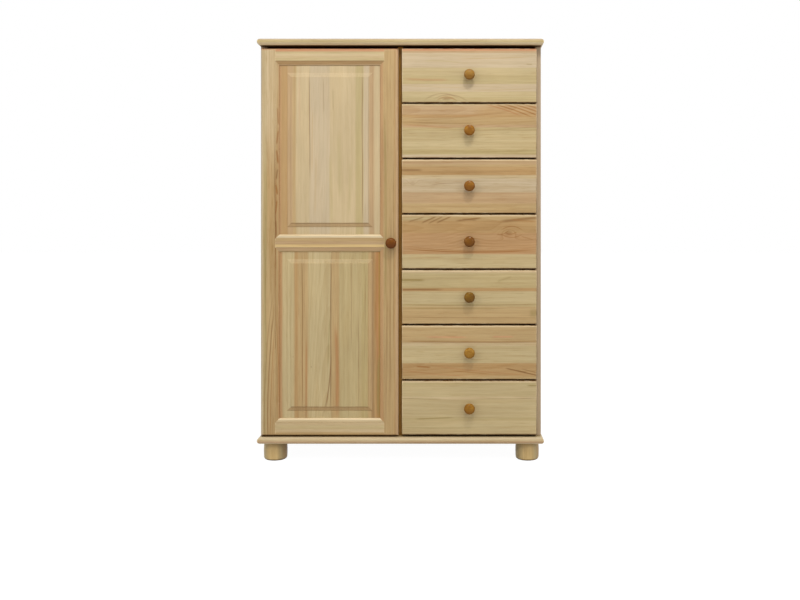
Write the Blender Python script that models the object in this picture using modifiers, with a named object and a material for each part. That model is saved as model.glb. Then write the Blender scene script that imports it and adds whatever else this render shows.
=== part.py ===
"""Pine wardrobe with one framed door and seven drawers.

Lengths are in metres, Z is up, and the front looks along -Y. The origin is on
the floor in the middle of the whole piece, knobs included. The door frame is
coped and moulded round two raised panels, and each drawer box hangs on wooden
runner strips and is dovetailed into its front.
"""

import math

import bmesh
import bpy
from mathutils import Matrix, Vector

# Overall sizes
WIDTH = 0.986
HEIGHT = 1.481
DEPTH = 0.550

# Fits: rest gap between touching pieces, and how far a cutter runs past
CLEAR = 0.0003
OVERRUN = 0.004
WELD = 0.00001

# Top and base boards, with a half-round nose on the front and both ends
BOARD_THICK = 0.0235
BOARD_SIDE_NOSE = 0.007
BOARD_FRONT_NOSE = 0.014
NOSE_FLAT = 0.001
NOSE_STEPS = 8

# Sides, divider and back panel
SIDE_THICK = 0.020
DIVIDER_THICK = 0.018
DIVIDER_OFFSET = -0.0014
FRONT_THICK = 0.020
CLOSING_GAP = 0.002
BACK_THICK = 0.004
REBATE_WIDTH = 0.009
OVERLAY = 0.003

# Door frame
DOOR_GAP_BELOW = 0.0036
DOOR_GAP_ABOVE = 0.0085
DOOR_REVEAL = 0.004
STILE_WIDTH = 0.065
TOP_RAIL_WIDTH = 0.060
MID_RAIL_WIDTH = 0.061
BOTTOM_RAIL_WIDTH = 0.0614
MID_RAIL_HEIGHT = 0.6744
DOOR_ROUND = 0.009
ROUND_STEPS = 4
TRIM = 0.002

# Moulding and panel groove on the inner edges of the door frame
STICK_WIDTH = 0.015
STICK_DEPTH = 0.006
QUIRK = 0.0012
STICK_STEPS = 4
GROOVE_FRONT = 0.007
GROOVE_BACK = 0.0128
GROOVE_DEPTH = 0.010

# Raised and fielded door panels
TONGUE = 0.009
PANEL_BEVEL = 0.023
BEVEL_RISE = 0.0018
PANEL_COVE = 0.009
COVE_RISE = 0.0034
COVE_STEPS = 3

# Drawer fronts
DRAWERS = 7
FRONT_GAP_BELOW = 0.0073
FRONT_GAP_ABOVE = 0.0097
FRONT_GAP = 0.0048
FRONT_ROUND = 0.0032
FRONT_ROUND_STEPS = 4

# Drawer boxes and their wooden runners
BOX_LENGTH = 0.450
BOX_LIFT = 0.018
BOX_DROP = 0.021
BOX_SIDE = 0.014
BOX_BACK = 0.014
BOX_PLAY = 0.003
BOTTOM_THICK = 0.004
BOTTOM_LIFT = 0.010
BOTTOM_GROOVE = 0.005
RUNNER_THICK = 0.009
RUNNER_HEIGHT = 0.017
RUNNER_GROOVE = 0.007
RUNNER_PLAY = 0.0007
RUNNER_START = 0.012
RUNNER_LENGTH = 0.430
RUNNER_CHAMFER = 0.0025
GROOVE_STOP = 0.008
DOVETAIL_DEPTH = 0.008
DOVETAIL_NECK = 0.008
DOVETAIL_TIP = 0.011

# Turned knob with its screw
KNOB_RADIUS = 0.019
KNOB_REACH = 0.032
KNOB_INSET = 0.0255
SCREW_RADIUS = 0.002
SCREW_HEAD_RADIUS = 0.004
SCREW_HEAD = 0.0022
BORE_RADIUS = 0.0026
KNOB_SIDES = 20
KNOB_SHARES = (
    (1.000, 0.30), (0.970, 0.60), (0.890, 0.84), (0.760, 0.98), (0.640, 1.00),
    (0.530, 0.92), (0.440, 0.74), (0.360, 0.53), (0.220, 0.44), (0.080, 0.50), (0.000, 0.56),
)

# Turned foot with its spigot
FOOT_HEIGHT = 0.065
FOOT_RADIUS = 0.0415
FOOT_SIDE_INSET = 0.0455
FOOT_FRONT_INSET = 0.056
FOOT_BACK_INSET = 0.050
SPIGOT_RADIUS = 0.012
SPIGOT_LENGTH = 0.014
FOOT_SIDES = 24
FOOT_SHARES = (
    (1.00, 0.84), (0.95, 0.90), (0.80, 0.965), (0.55, 1.00), (0.30, 0.985),
    (0.12, 0.95), (0.04, 0.90), (0.00, 0.82),
)

# Cup hinges of the door
HINGE_IN = 0.006
HINGE_BACK = 0.006
HINGE_END_INSET = 0.109
CUP_RADIUS = 0.0175
CUP_DEPTH = 0.0115
CUP_INSET = 0.0225
CUP_WALL = 0.001
CUP_FLANGE = 0.002
PLATE_FLANGE = 0.0012
WING_THICK = 0.0008
WING_LENGTH = 0.058
WING_WIDTH = 0.012
WING_ROUND = 0.005
ARM_START = 0.015
ARM_LENGTH = 0.078
ARM_STAND_OFF = 0.002
ARM_THICK = 0.010
ARM_HEIGHT = 0.014
ARM_ROUND = 0.002
PLATE_THICK = 0.003
PLATE_SET_BACK = 0.037
PLATE_WIDTH = 0.022
PLATE_LENGTH = 0.050
HINGE_SIDES = 24

# Hat shelf and hanging rail
SHELF_THICK = 0.018
SHELF_BELOW_TOP = 0.280
SHELF_SET_BACK = 0.006
SHELF_ROUND = 0.002
PIN_RADIUS = 0.0025
PIN_HOLD = 0.008
PIN_STUB = 0.008
PIN_TIP = 0.0006
PIN_INSET = 0.055
PIN_SIDES = 12
RAIL_RADIUS = 0.014
RAIL_BELOW_SHELF = 0.052
RAIL_END_GAP = 0.0015
SOCKET_RADIUS = 0.023
SOCKET_RIM = 0.004
SOCKET_LENGTH = 0.013
SOCKET_BASE = 0.005
RAIL_SIDES = 24

# Derived planes
FACE_Y = (KNOB_REACH - DEPTH + BOARD_FRONT_NOSE) / 2
BACK_Y = FACE_Y + DEPTH - BOARD_FRONT_NOSE
CARCASS_Y = FACE_Y + FRONT_THICK + CLOSING_GAP
PANEL_Y = BACK_Y - BACK_THICK
BASE_TOP = FOOT_HEIGHT + BOARD_THICK
TOP_UNDER = HEIGHT - BOARD_THICK
LEFT_WALL = SIDE_THICK - WIDTH / 2
RIGHT_WALL = WIDTH / 2 - SIDE_THICK
DIVIDER_LEFT = DIVIDER_OFFSET - DIVIDER_THICK / 2
DIVIDER_RIGHT = DIVIDER_OFFSET + DIVIDER_THICK / 2
BOARD_HALF = WIDTH / 2 + BOARD_SIDE_NOSE
REBATE_LEFT = LEFT_WALL - REBATE_WIDTH
REBATE_RIGHT = RIGHT_WALL + REBATE_WIDTH

# Derived door sizes
DOOR_LEFT = DOOR_REVEAL - WIDTH / 2
DOOR_RIGHT = DIVIDER_LEFT + OVERLAY
DOOR_BOTTOM = BASE_TOP + DOOR_GAP_BELOW
DOOR_TOP = TOP_UNDER - DOOR_GAP_ABOVE
DOOR_MIDDLE = (DOOR_BOTTOM + DOOR_TOP) / 2
DOOR_BACK = FACE_Y + FRONT_THICK
MID_RAIL_Z = DOOR_BOTTOM + MID_RAIL_HEIGHT
HINGE_HEIGHTS = (DOOR_BOTTOM + HINGE_END_INSET, DOOR_MIDDLE, DOOR_TOP - HINGE_END_INSET)

# Derived drawer sizes
FRONT_LEFT = DIVIDER_RIGHT - OVERLAY
FRONT_RIGHT = RIGHT_WALL + OVERLAY
FRONT_MIDDLE = (FRONT_LEFT + FRONT_RIGHT) / 2
FRONT_BOTTOM = BASE_TOP + FRONT_GAP_BELOW
FRONT_PITCH = (TOP_UNDER - FRONT_GAP_ABOVE + FRONT_GAP - FRONT_BOTTOM) / DRAWERS
FRONT_HEIGHT = FRONT_PITCH - FRONT_GAP
BOX_HALF = (RIGHT_WALL - DIVIDER_RIGHT) / 2 - BOX_PLAY
BOX_BOTTOM = FRONT_BOTTOM + BOX_LIFT
BOX_TOP = FRONT_BOTTOM + FRONT_HEIGHT - BOX_DROP
BOX_FRONT = DOOR_BACK + CLEAR
BOX_REAR = BOX_FRONT + BOX_LENGTH
RUNNER_Z = (BOX_BOTTOM + BOX_TOP) / 2

# Derived shelf and rail places
SHELF_TOP = TOP_UNDER - SHELF_BELOW_TOP
SHELF_UNDER = SHELF_TOP - SHELF_THICK
SHELF_FRONT = CARCASS_Y + SHELF_SET_BACK
SHELF_BACK = PANEL_Y - CLEAR
RAIL_Z = SHELF_UNDER - RAIL_BELOW_SHELF
RAIL_Y = (CARCASS_Y + PANEL_Y) / 2

# Colours, roughness and metal share of the finishes
PINE = ((0.72, 0.55, 0.32), 0.42, 0.0)
PALE_PINE = ((0.76, 0.61, 0.38), 0.42, 0.0)
RAW_PINE = ((0.74, 0.60, 0.40), 0.62, 0.0)
FIBREBOARD = ((0.63, 0.50, 0.34), 0.65, 0.0)
KNOB_BROWN = ((0.36, 0.17, 0.05), 0.30, 0.0)
NICKEL = ((0.62, 0.61, 0.58), 0.32, 1.0)


def clear_scene():
    for item in list(bpy.data.objects):
        bpy.data.objects.remove(item, do_unlink=True)


def new_collection(name):
    group = bpy.data.collections.new(name)
    bpy.context.scene.collection.children.link(group)
    return group


clear_scene()
PARTS = new_collection("wardrobe")
CUTTERS = new_collection("cutters")


def add_object(name, bm, group):
    """Link a new object that holds the mesh in bm, which is already in place."""
    mesh = bpy.data.meshes.new(name)
    bmesh.ops.recalc_face_normals(bm, faces=bm.faces)
    bm.to_mesh(mesh)
    bm.free()
    item = bpy.data.objects.new(name, mesh)
    group.objects.link(item)
    return item


def finish(item, look, smooth=False):
    """Give a sub-part its own material, and shade it smooth where it is round."""
    colour, roughness, metal = look
    paint = bpy.data.materials.new(item.name + "_finish")
    paint.use_nodes = True
    shader = paint.node_tree.nodes["Principled BSDF"]
    shader.inputs["Base Color"].default_value = (*colour, 1)
    shader.inputs["Roughness"].default_value = roughness
    shader.inputs["Metallic"].default_value = metal
    item.data.materials.clear()
    item.data.materials.append(paint)
    if smooth:
        item.data.shade_smooth()
        item.data.set_sharp_from_angle(angle=math.radians(40))
    return item


def hide_cutter(item):
    item.hide_render = True
    item.display_type = "WIRE"
    return item


def box_bmesh(low, high):
    bm = bmesh.new()
    bmesh.ops.create_cube(bm, size=1)
    low = Vector(low)
    high = Vector(high)
    bmesh.ops.scale(bm, vec=high - low, verts=bm.verts)
    bmesh.ops.translate(bm, vec=(low + high) / 2, verts=bm.verts)
    return bm


def box(name, low, high, group=None):
    return add_object(name, box_bmesh(low, high), group or PARTS)


def box_cutter(name, low, high):
    return hide_cutter(box(name, low, high, CUTTERS))


def edges_on(bm, test):
    """The edges whose two ends both pass the test."""
    return [edge for edge in bm.edges if all(test(vert.co) for vert in edge.verts)]


def round_over(bm, edges, radius, steps):
    bmesh.ops.bevel(
        bm, geom=edges, offset=radius, offset_type="OFFSET", segments=steps,
        profile=0.5, affect="EDGES", material=-1, clamp_overlap=False,
    )


def near(value, target):
    return abs(value - target) < WELD


def rod_cutter(name, start, axis, length, radius, sides):
    """A round cutter that runs from start along the axis."""
    axis = Vector(axis)
    bm = bmesh.new()
    bmesh.ops.create_cone(
        bm, cap_ends=True, segments=sides, radius1=radius, radius2=radius, depth=length,
    )
    middle = Vector(start) + axis * length / 2
    turn = Vector((0, 0, 1)).rotation_difference(axis).to_matrix().to_4x4()
    bmesh.ops.transform(bm, matrix=Matrix.Translation(middle) @ turn, verts=bm.verts)
    return hide_cutter(add_object(name, bm, CUTTERS))


def set_mesh(item, mesh):
    """Swap in a new mesh, and drop the old one."""
    old = item.data
    item.modifiers.clear()
    item.data = mesh
    bpy.data.meshes.remove(old)


def evaluated_mesh(item):
    bpy.context.view_layer.update()
    graph = bpy.context.evaluated_depsgraph_get()
    return bpy.data.meshes.new_from_object(item.evaluated_get(graph))


def join(item, tool, operation):
    """Run one exact Boolean of a tool object on a sub-part."""
    change = item.modifiers.new(operation.lower(), "BOOLEAN")
    change.operation = operation
    change.solver = "EXACT"
    change.object = tool
    set_mesh(item, evaluated_mesh(item))
    bm = bmesh.new()
    bm.from_mesh(item.data)
    bmesh.ops.remove_doubles(bm, verts=bm.verts, dist=WELD)
    bm.to_mesh(item.data)
    bm.free()
    return item


def cut(item, *tools):
    for tool in tools:
        join(item, tool, "DIFFERENCE")
    return item


def flat_shape(name, points, thickness, place, group=None):
    """Extrude a closed outline, fill each end as one face, and set it in place with a matrix."""
    curve = bpy.data.curves.new(name, "CURVE")
    curve.dimensions = "2D"
    curve.fill_mode = "NONE"
    curve.extrude = thickness / 2
    spline = curve.splines.new("POLY")
    spline.points.add(len(points) - 1)
    for point, (across, along) in zip(spline.points, points):
        point.co = (across, along, 0, 1)
    spline.use_cyclic_u = True
    outline = bpy.data.objects.new(name + "_outline", curve)
    PARTS.objects.link(outline)
    mesh = evaluated_mesh(outline)
    bpy.data.objects.remove(outline)
    bpy.data.curves.remove(curve)
    bm = bmesh.new()
    bm.from_mesh(mesh)
    bpy.data.meshes.remove(mesh)
    bmesh.ops.remove_doubles(bm, verts=bm.verts, dist=WELD)
    bmesh.ops.holes_fill(bm, edges=bm.edges, sides=0)
    bmesh.ops.transform(bm, matrix=place, verts=bm.verts)
    return add_object(name, bm, group or PARTS)


def turned(name, profile, sides, place, closed=False):
    """Turn a profile of (radius, height) points, from the top down its outer side."""
    bm = bmesh.new()
    verts = [bm.verts.new((radius, 0, height)) for radius, height in profile]
    for first, second in zip(verts, verts[1:]):
        bm.edges.new((first, second))
    if closed:
        bm.edges.new((verts[-1], verts[0]))
    mesh = bpy.data.meshes.new(name)
    bm.to_mesh(mesh)
    bm.free()
    item = bpy.data.objects.new(name, mesh)
    PARTS.objects.link(item)
    screw = item.modifiers.new("turn", "SCREW")
    screw.steps = sides
    screw.render_steps = sides
    screw.use_merge_vertices = True
    screw.merge_threshold = WELD
    set_mesh(item, evaluated_mesh(item))
    item.data.transform(place)
    return item


def frame_matrix(x_axis, y_axis, origin):
    """A matrix that sends local X and Y to the given world axes."""
    x_axis = Vector(x_axis)
    y_axis = Vector(y_axis)
    matrix = Matrix((x_axis, y_axis, x_axis.cross(y_axis))).transposed().to_4x4()
    matrix.translation = origin
    return matrix


def facing_front(origin):
    """Places a turned piece with its top towards the front."""
    return Matrix.Translation(origin) @ Matrix.Rotation(math.radians(90), 4, "X")


def facing_side(origin, sign):
    """Places a turned piece with its top towards +X or -X."""
    return Matrix.Translation(origin) @ Matrix.Rotation(math.radians(90 * sign), 4, "Y")


# Carcass

def nosed_board(name, low_z):
    """A board with a half-round nose on the front and both ends."""
    front = FACE_Y - BOARD_FRONT_NOSE
    bm = box_bmesh((-BOARD_HALF, front, low_z), (BOARD_HALF, BACK_Y, low_z + BOARD_THICK))
    long_edges = edges_on(bm, lambda co: near(co.y, front))
    end_edges = edges_on(bm, lambda co: near(abs(co.x), BOARD_HALF))
    level = [edge for edge in set(long_edges + end_edges)
             if near(edge.verts[0].co.z, edge.verts[1].co.z)
             and not all(near(vert.co.y, BACK_Y) for vert in edge.verts)]
    round_over(bm, level, (BOARD_THICK - NOSE_FLAT) / 2, NOSE_STEPS)
    return add_object(name, bm, PARTS)


def back_rebate(name, low_z, high_z):
    """The cutter for the part of the back panel's rebate between two heights."""
    return box_cutter(
        name, (REBATE_LEFT, PANEL_Y - CLEAR, low_z), (REBATE_RIGHT, BACK_Y + OVERRUN, high_z)
    )


def foot_places():
    across = WIDTH / 2 - FOOT_SIDE_INSET
    front = FACE_Y + FOOT_FRONT_INSET
    back = BACK_Y - FOOT_BACK_INSET
    return {
        "foot_front_left": (-across, front), "foot_front_right": (across, front),
        "foot_back_left": (-across, back), "foot_back_right": (across, back),
    }


def make_boards():
    top = nosed_board("top_board", TOP_UNDER)
    cut(top, back_rebate("top_rebate", TOP_UNDER - OVERRUN, TOP_UNDER + REBATE_WIDTH))
    finish(top, PINE, smooth=True)
    base = nosed_board("base_board", FOOT_HEIGHT)
    cut(base, back_rebate("base_rebate", BASE_TOP - REBATE_WIDTH, BASE_TOP + OVERRUN))
    for name, (across, along) in foot_places().items():
        start = (across, along, FOOT_HEIGHT - OVERRUN)
        length = OVERRUN + SPIGOT_LENGTH + CLEAR
        cut(base, rod_cutter(name + "_bore", start, (0, 0, 1), length, SPIGOT_RADIUS + CLEAR, FOOT_SIDES))
    finish(base, PINE, smooth=True)


def runner_strips(name, wall, sign):
    """Seven runner strips in one mesh, standing out of a wall towards the drawers."""
    inner = wall - sign * OVERRUN
    outer = wall + sign * RUNNER_THICK
    front = CARCASS_Y + RUNNER_START
    bm = bmesh.new()
    for index in range(DRAWERS):
        middle = RUNNER_Z + index * FRONT_PITCH
        low = (min(inner, outer), front, middle - RUNNER_HEIGHT / 2)
        high = (max(inner, outer), front + RUNNER_LENGTH, middle + RUNNER_HEIGHT / 2)
        strip = box_bmesh(low, high)
        lead = edges_on(strip, lambda co: near(co.x, outer) and near(co.y, front))
        round_over(strip, lead, RUNNER_CHAMFER, 1)
        mesh = bpy.data.meshes.new(name)
        strip.to_mesh(mesh)
        strip.free()
        bm.from_mesh(mesh)
        bpy.data.meshes.remove(mesh)
    return hide_cutter(add_object(name, bm, CUTTERS))


def pin_places():
    """The four shelf pins: the wall, the way into the cabinet, and the depth."""
    front = SHELF_FRONT + PIN_INSET
    back = SHELF_BACK - PIN_INSET
    return {
        "shelf_pin_front_left": (LEFT_WALL, 1, front), "shelf_pin_back_left": (LEFT_WALL, 1, back),
        "shelf_pin_front_right": (DIVIDER_LEFT, -1, front), "shelf_pin_back_right": (DIVIDER_LEFT, -1, back),
    }


def bore_for_pins(panel, wall):
    for name, (place, inward, along) in pin_places().items():
        if place == wall:
            start = (wall + inward * OVERRUN, along, SHELF_UNDER - CLEAR - PIN_RADIUS)
            length = OVERRUN + PIN_HOLD + CLEAR
            axis = (-inward, 0, 0)
            cut(panel, rod_cutter(name + "_bore", start, axis, length, PIN_RADIUS + CLEAR, PIN_SIDES))


def make_sides():
    low_z = BASE_TOP + CLEAR
    high_z = TOP_UNDER - CLEAR
    rebate = back_rebate("side_rebate", FOOT_HEIGHT, HEIGHT)
    left = box("left_side", (-WIDTH / 2, CARCASS_Y, low_z), (LEFT_WALL, BACK_Y, high_z))
    cut(left, rebate)
    bore_for_pins(left, LEFT_WALL)
    finish(left, PINE)
    right = box("right_side", (RIGHT_WALL, CARCASS_Y, low_z), (WIDTH / 2, BACK_Y, high_z))
    cut(right, rebate)
    join(right, runner_strips("right_runners", RIGHT_WALL, -1), "UNION")
    finish(right, PINE)
    divider = box("divider", (DIVIDER_LEFT, CARCASS_Y, low_z), (DIVIDER_RIGHT, PANEL_Y - CLEAR, high_z))
    join(divider, runner_strips("divider_runners", DIVIDER_RIGHT, 1), "UNION")
    bore_for_pins(divider, DIVIDER_LEFT)
    finish(divider, PINE)


def make_back():
    low = (REBATE_LEFT + CLEAR, PANEL_Y, BASE_TOP - REBATE_WIDTH + CLEAR)
    high = (REBATE_RIGHT - CLEAR, BACK_Y, TOP_UNDER + REBATE_WIDTH - CLEAR)
    finish(box("back_panel", low, high), FIBREBOARD)


def make_feet():
    body = FOOT_HEIGHT - CLEAR
    profile = [(0, FOOT_HEIGHT + SPIGOT_LENGTH), (SPIGOT_RADIUS, FOOT_HEIGHT + SPIGOT_LENGTH)]
    profile += [(SPIGOT_RADIUS, body)]
    profile += [(radius * FOOT_RADIUS, height * body) for height, radius in FOOT_SHARES]
    profile += [(0, 0)]
    for name, (across, along) in foot_places().items():
        place = Matrix.Translation((across, along, 0))
        finish(turned(name, profile, FOOT_SIDES, place), PALE_PINE, smooth=True)


def make_shelf():
    low = (LEFT_WALL + CLEAR, SHELF_FRONT, SHELF_UNDER)
    high = (DIVIDER_LEFT - CLEAR, SHELF_BACK, SHELF_TOP)
    bm = box_bmesh(low, high)
    round_over(bm, edges_on(bm, lambda co: near(co.y, SHELF_FRONT)), SHELF_ROUND, 1)
    finish(add_object("hat_shelf", bm, PARTS), PALE_PINE)
    for name, (wall, inward, along) in pin_places().items():
        profile = [
            (0, PIN_STUB), (PIN_RADIUS - PIN_TIP, PIN_STUB), (PIN_RADIUS, PIN_STUB - PIN_TIP),
            (PIN_RADIUS, -PIN_HOLD), (0, -PIN_HOLD),
        ]
        place = facing_side((wall, along, SHELF_UNDER - CLEAR - PIN_RADIUS), inward)
        finish(turned(name, profile, PIN_SIDES, place), NICKEL, smooth=True)


def make_rail():
    start = LEFT_WALL + RAIL_END_GAP
    end = DIVIDER_LEFT - RAIL_END_GAP
    profile = [(0, end), (RAIL_RADIUS, end), (RAIL_RADIUS, start), (0, start)]
    rail = turned("hanging_rail", profile, RAIL_SIDES, facing_side((0, RAIL_Y, RAIL_Z), 1))
    finish(rail, PALE_PINE, smooth=True)
    bore = RAIL_RADIUS + CLEAR
    ring = [
        (bore, SOCKET_LENGTH), (bore + SOCKET_RIM, SOCKET_LENGTH), (bore + SOCKET_RIM, SOCKET_BASE),
        (SOCKET_RADIUS, SOCKET_BASE), (SOCKET_RADIUS, CLEAR), (bore, CLEAR),
    ]
    for name, wall, sign in (("rail_socket_left", LEFT_WALL, 1), ("rail_socket_right", DIVIDER_LEFT, -1)):
        place = facing_side((wall, RAIL_Y, RAIL_Z), sign)
        finish(turned(name, ring, RAIL_SIDES, place, closed=True), PALE_PINE, smooth=True)


# Door

def inner_edge(width, clear, front, back):
    """The moulded and grooved inner edge of a frame member, from its face to its back."""
    start = width - STICK_WIDTH + clear
    points = [(start, front)]
    for step in range(STICK_STEPS + 1):
        angle = math.radians(90) * step / STICK_STEPS
        drop = (STICK_DEPTH - QUIRK) * (1 - math.cos(angle))
        points.append((start + STICK_WIDTH * math.sin(angle), QUIRK + drop - clear))
    floor = width - GROOVE_DEPTH + clear
    lip = width + clear
    points += [(lip, GROOVE_FRONT + clear), (floor, GROOVE_FRONT + clear)]
    points += [(floor, GROOVE_BACK - clear), (lip, GROOVE_BACK - clear), (lip, back)]
    return points


def member_outline(width, two_edges=False, clear=0):
    """The section of a stile or rail: across from its outer edge, and back from the face."""
    front = -TRIM - (OVERRUN if clear else 0)
    back = FRONT_THICK + (OVERRUN if clear else 0)
    right = inner_edge(width, clear, front, back)
    if two_edges:
        left = [(width - across, along) for across, along in reversed(right)]
    else:
        left = [(-TRIM - clear, back), (-TRIM - clear, front)]
    return left + right


def door_blank():
    """The whole door's outside shape, rounded over along its front edges."""
    low = (DOOR_LEFT, FACE_Y, DOOR_BOTTOM)
    bm = box_bmesh(low, (DOOR_RIGHT, DOOR_BACK + OVERRUN, DOOR_TOP))
    round_over(bm, edges_on(bm, lambda co: near(co.y, FACE_Y)), DOOR_ROUND, ROUND_STEPS)
    return hide_cutter(add_object("door_outside", bm, CUTTERS))


def stile(name, sign, group, clear=0):
    """A full-height stile at the left (+1) or right (-1), moulded towards the middle."""
    edge = DOOR_LEFT if sign > 0 else DOOR_RIGHT
    length = DOOR_TOP - DOOR_BOTTOM + 2 * TRIM + (2 * OVERRUN if clear else 0)
    place = frame_matrix((sign, 0, 0), (0, 1, 0), (edge, FACE_Y, DOOR_MIDDLE))
    return flat_shape(name, member_outline(STILE_WIDTH, clear=clear), length, place, group)


def rail(name, width, edge_z, up, two_edges, copes, blank):
    """A rail coped over the stiles' moulding, with its tongues in their grooves."""
    start = DOOR_LEFT + STILE_WIDTH - STICK_WIDTH - OVERRUN
    end = DOOR_RIGHT - STILE_WIDTH + STICK_WIDTH + OVERRUN
    place = frame_matrix((0, 0, up), (0, 1, 0), ((start + end) / 2, FACE_Y, edge_z))
    item = flat_shape(name, member_outline(width, two_edges), end - start, place)
    cut(item, *copes)
    join(item, blank, "INTERSECT")
    return finish(item, PINE, smooth=True)


def raised_panel(name, low_z, high_z):
    """A panel with a tongue all round, a sloping bevel, a cove and a raised field."""
    left = DOOR_LEFT + STILE_WIDTH - TONGUE
    right = DOOR_RIGHT - STILE_WIDTH + TONGUE
    front = FACE_Y + GROOVE_FRONT + CLEAR
    back = FACE_Y + GROOVE_BACK - CLEAR
    bm = box_bmesh((left, front, low_z - TONGUE), (right, back, high_z + TONGUE))
    bm.faces.ensure_lookup_table()
    bm.normal_update()
    field = [min(bm.faces, key=lambda face: face.calc_center_median().y)]
    steps = [(TONGUE, 0), (PANEL_BEVEL, BEVEL_RISE)]
    for step in range(COVE_STEPS):
        first = math.radians(90) * step / COVE_STEPS
        second = math.radians(90) * (step + 1) / COVE_STEPS
        inward = PANEL_COVE * (math.sin(second) - math.sin(first))
        steps.append((inward, COVE_RISE * (math.cos(first) - math.cos(second))))
    for inward, rise in steps:
        bmesh.ops.inset_individual(bm, faces=field, thickness=inward, depth=rise, use_even_offset=True)
    return finish(add_object(name, bm, PARTS), PALE_PINE, smooth=True)


def knob_profile():
    """The knob, its screw shank through the front, and the screw's head behind."""
    seat = CLEAR
    reach = KNOB_REACH - seat
    head = -FRONT_THICK - CLEAR
    profile = [(0, KNOB_REACH)]
    profile += [(radius * KNOB_RADIUS, seat + along * reach) for along, radius in KNOB_SHARES]
    profile += [(SCREW_RADIUS, seat), (SCREW_RADIUS, head), (SCREW_HEAD_RADIUS, head)]
    profile += [(SCREW_HEAD_RADIUS, head - SCREW_HEAD), (0, head - SCREW_HEAD)]
    return profile


def make_knob(name, across, up):
    place = facing_front((across, FACE_Y, up))
    return finish(turned(name, knob_profile(), KNOB_SIDES, place), KNOB_BROWN, smooth=True)


def knob_bore(name, across, up):
    start = (across, FACE_Y - OVERRUN, up)
    length = FRONT_THICK + 2 * OVERRUN
    return rod_cutter(name, start, (0, 1, 0), length, BORE_RADIUS, PIN_SIDES)


def make_hinge_cup(name, height):
    """A drilled-in cup with a thin flange and two wings on the back of the door."""
    outer = CUP_RADIUS - CLEAR
    depth = CUP_DEPTH - CLEAR
    inner = outer - CUP_WALL
    profile = [
        (0, depth), (outer, depth), (outer, -CLEAR), (CUP_RADIUS + CUP_FLANGE, -CLEAR),
        (CUP_RADIUS + CUP_FLANGE, -CLEAR - PLATE_FLANGE), (inner, -CLEAR - PLATE_FLANGE),
        (inner, depth - CUP_WALL), (0, depth - CUP_WALL),
    ]
    centre = (DOOR_LEFT + CUP_INSET, DOOR_BACK, height)
    cup = turned(name, profile, HINGE_SIDES, facing_front(centre))
    wing_front = DOOR_BACK + CLEAR + (PLATE_FLANGE - WING_THICK) / 2
    for side in (-1, 1):
        start = height + side * (inner + CUP_WALL)
        end = height + side * WING_LENGTH / 2
        bm = box_bmesh(
            (centre[0] - WING_WIDTH / 2, wing_front, min(start, end)),
            (centre[0] + WING_WIDTH / 2, wing_front + WING_THICK, max(start, end)),
        )
        corners = [edge for edge in edges_on(bm, lambda co: near(co.z, end))
                   if near(edge.verts[0].co.x, edge.verts[1].co.x)]
        round_over(bm, corners, WING_ROUND, 2)
        wing = hide_cutter(add_object(name + "_wing", bm, CUTTERS))
        join(cup, wing, "UNION")
    return finish(cup, NICKEL, smooth=True)


def make_hinge_arm(name, height):
    """The arm from the side's mounting plate to inside the cup."""
    arm_low = (LEFT_WALL + ARM_STAND_OFF, FACE_Y + ARM_START, height - ARM_HEIGHT / 2)
    arm_high = (arm_low[0] + ARM_THICK, FACE_Y + ARM_START + ARM_LENGTH, height + ARM_HEIGHT / 2)
    bm = box_bmesh(arm_low, arm_high)
    round_over(bm, bm.edges[:], ARM_ROUND, 1)
    arm = add_object(name, bm, PARTS)
    middle = CARCASS_Y + PLATE_SET_BACK
    low = (LEFT_WALL + CLEAR, middle - PLATE_WIDTH / 2, height - PLATE_LENGTH / 2)
    high = (LEFT_WALL + PLATE_THICK, middle + PLATE_WIDTH / 2, height + PLATE_LENGTH / 2)
    join(arm, hide_cutter(box(name + "_plate", low, high, CUTTERS)), "UNION")
    return finish(arm, NICKEL)


def make_door():
    blank = door_blank()
    copes = [
        hide_cutter(stile("left_cope", 1, CUTTERS, clear=CLEAR)),
        hide_cutter(stile("right_cope", -1, CUTTERS, clear=CLEAR)),
    ]
    left = join(stile("door_left_stile", 1, PARTS), blank, "INTERSECT")
    right = join(stile("door_right_stile", -1, PARTS), blank, "INTERSECT")
    for index, height in enumerate(HINGE_HEIGHTS):
        start = (DOOR_LEFT + CUP_INSET, DOOR_BACK - CUP_DEPTH, height)
        length = CUP_DEPTH + OVERRUN
        cut(left, rod_cutter(f"cup_bore_{index + 1}", start, (0, 1, 0), length, CUP_RADIUS, HINGE_SIDES))
    cut(right, knob_bore("door_knob_bore", DOOR_RIGHT - KNOB_INSET, MID_RAIL_Z))
    pieces = [finish(left, PINE, smooth=True), finish(right, PINE, smooth=True)]
    mid_low = MID_RAIL_Z - MID_RAIL_WIDTH / 2
    mid_high = MID_RAIL_Z + MID_RAIL_WIDTH / 2
    pieces += [
        rail("door_top_rail", TOP_RAIL_WIDTH, DOOR_TOP, -1, False, copes, blank),
        rail("door_mid_rail", MID_RAIL_WIDTH, mid_low, 1, True, copes, blank),
        rail("door_bottom_rail", BOTTOM_RAIL_WIDTH, DOOR_BOTTOM, 1, False, copes, blank),
        raised_panel("door_upper_panel", mid_high, DOOR_TOP - TOP_RAIL_WIDTH),
        raised_panel("door_lower_panel", DOOR_BOTTOM + BOTTOM_RAIL_WIDTH, mid_low),
        make_knob("door_knob", DOOR_RIGHT - KNOB_INSET, MID_RAIL_Z),
    ]
    for index, height in enumerate(HINGE_HEIGHTS):
        pieces.append(make_hinge_cup(f"hinge_cup_{index + 1}", height))
        make_hinge_arm(f"hinge_arm_{index + 1}", height)
    return pieces


# Drawers

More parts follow.
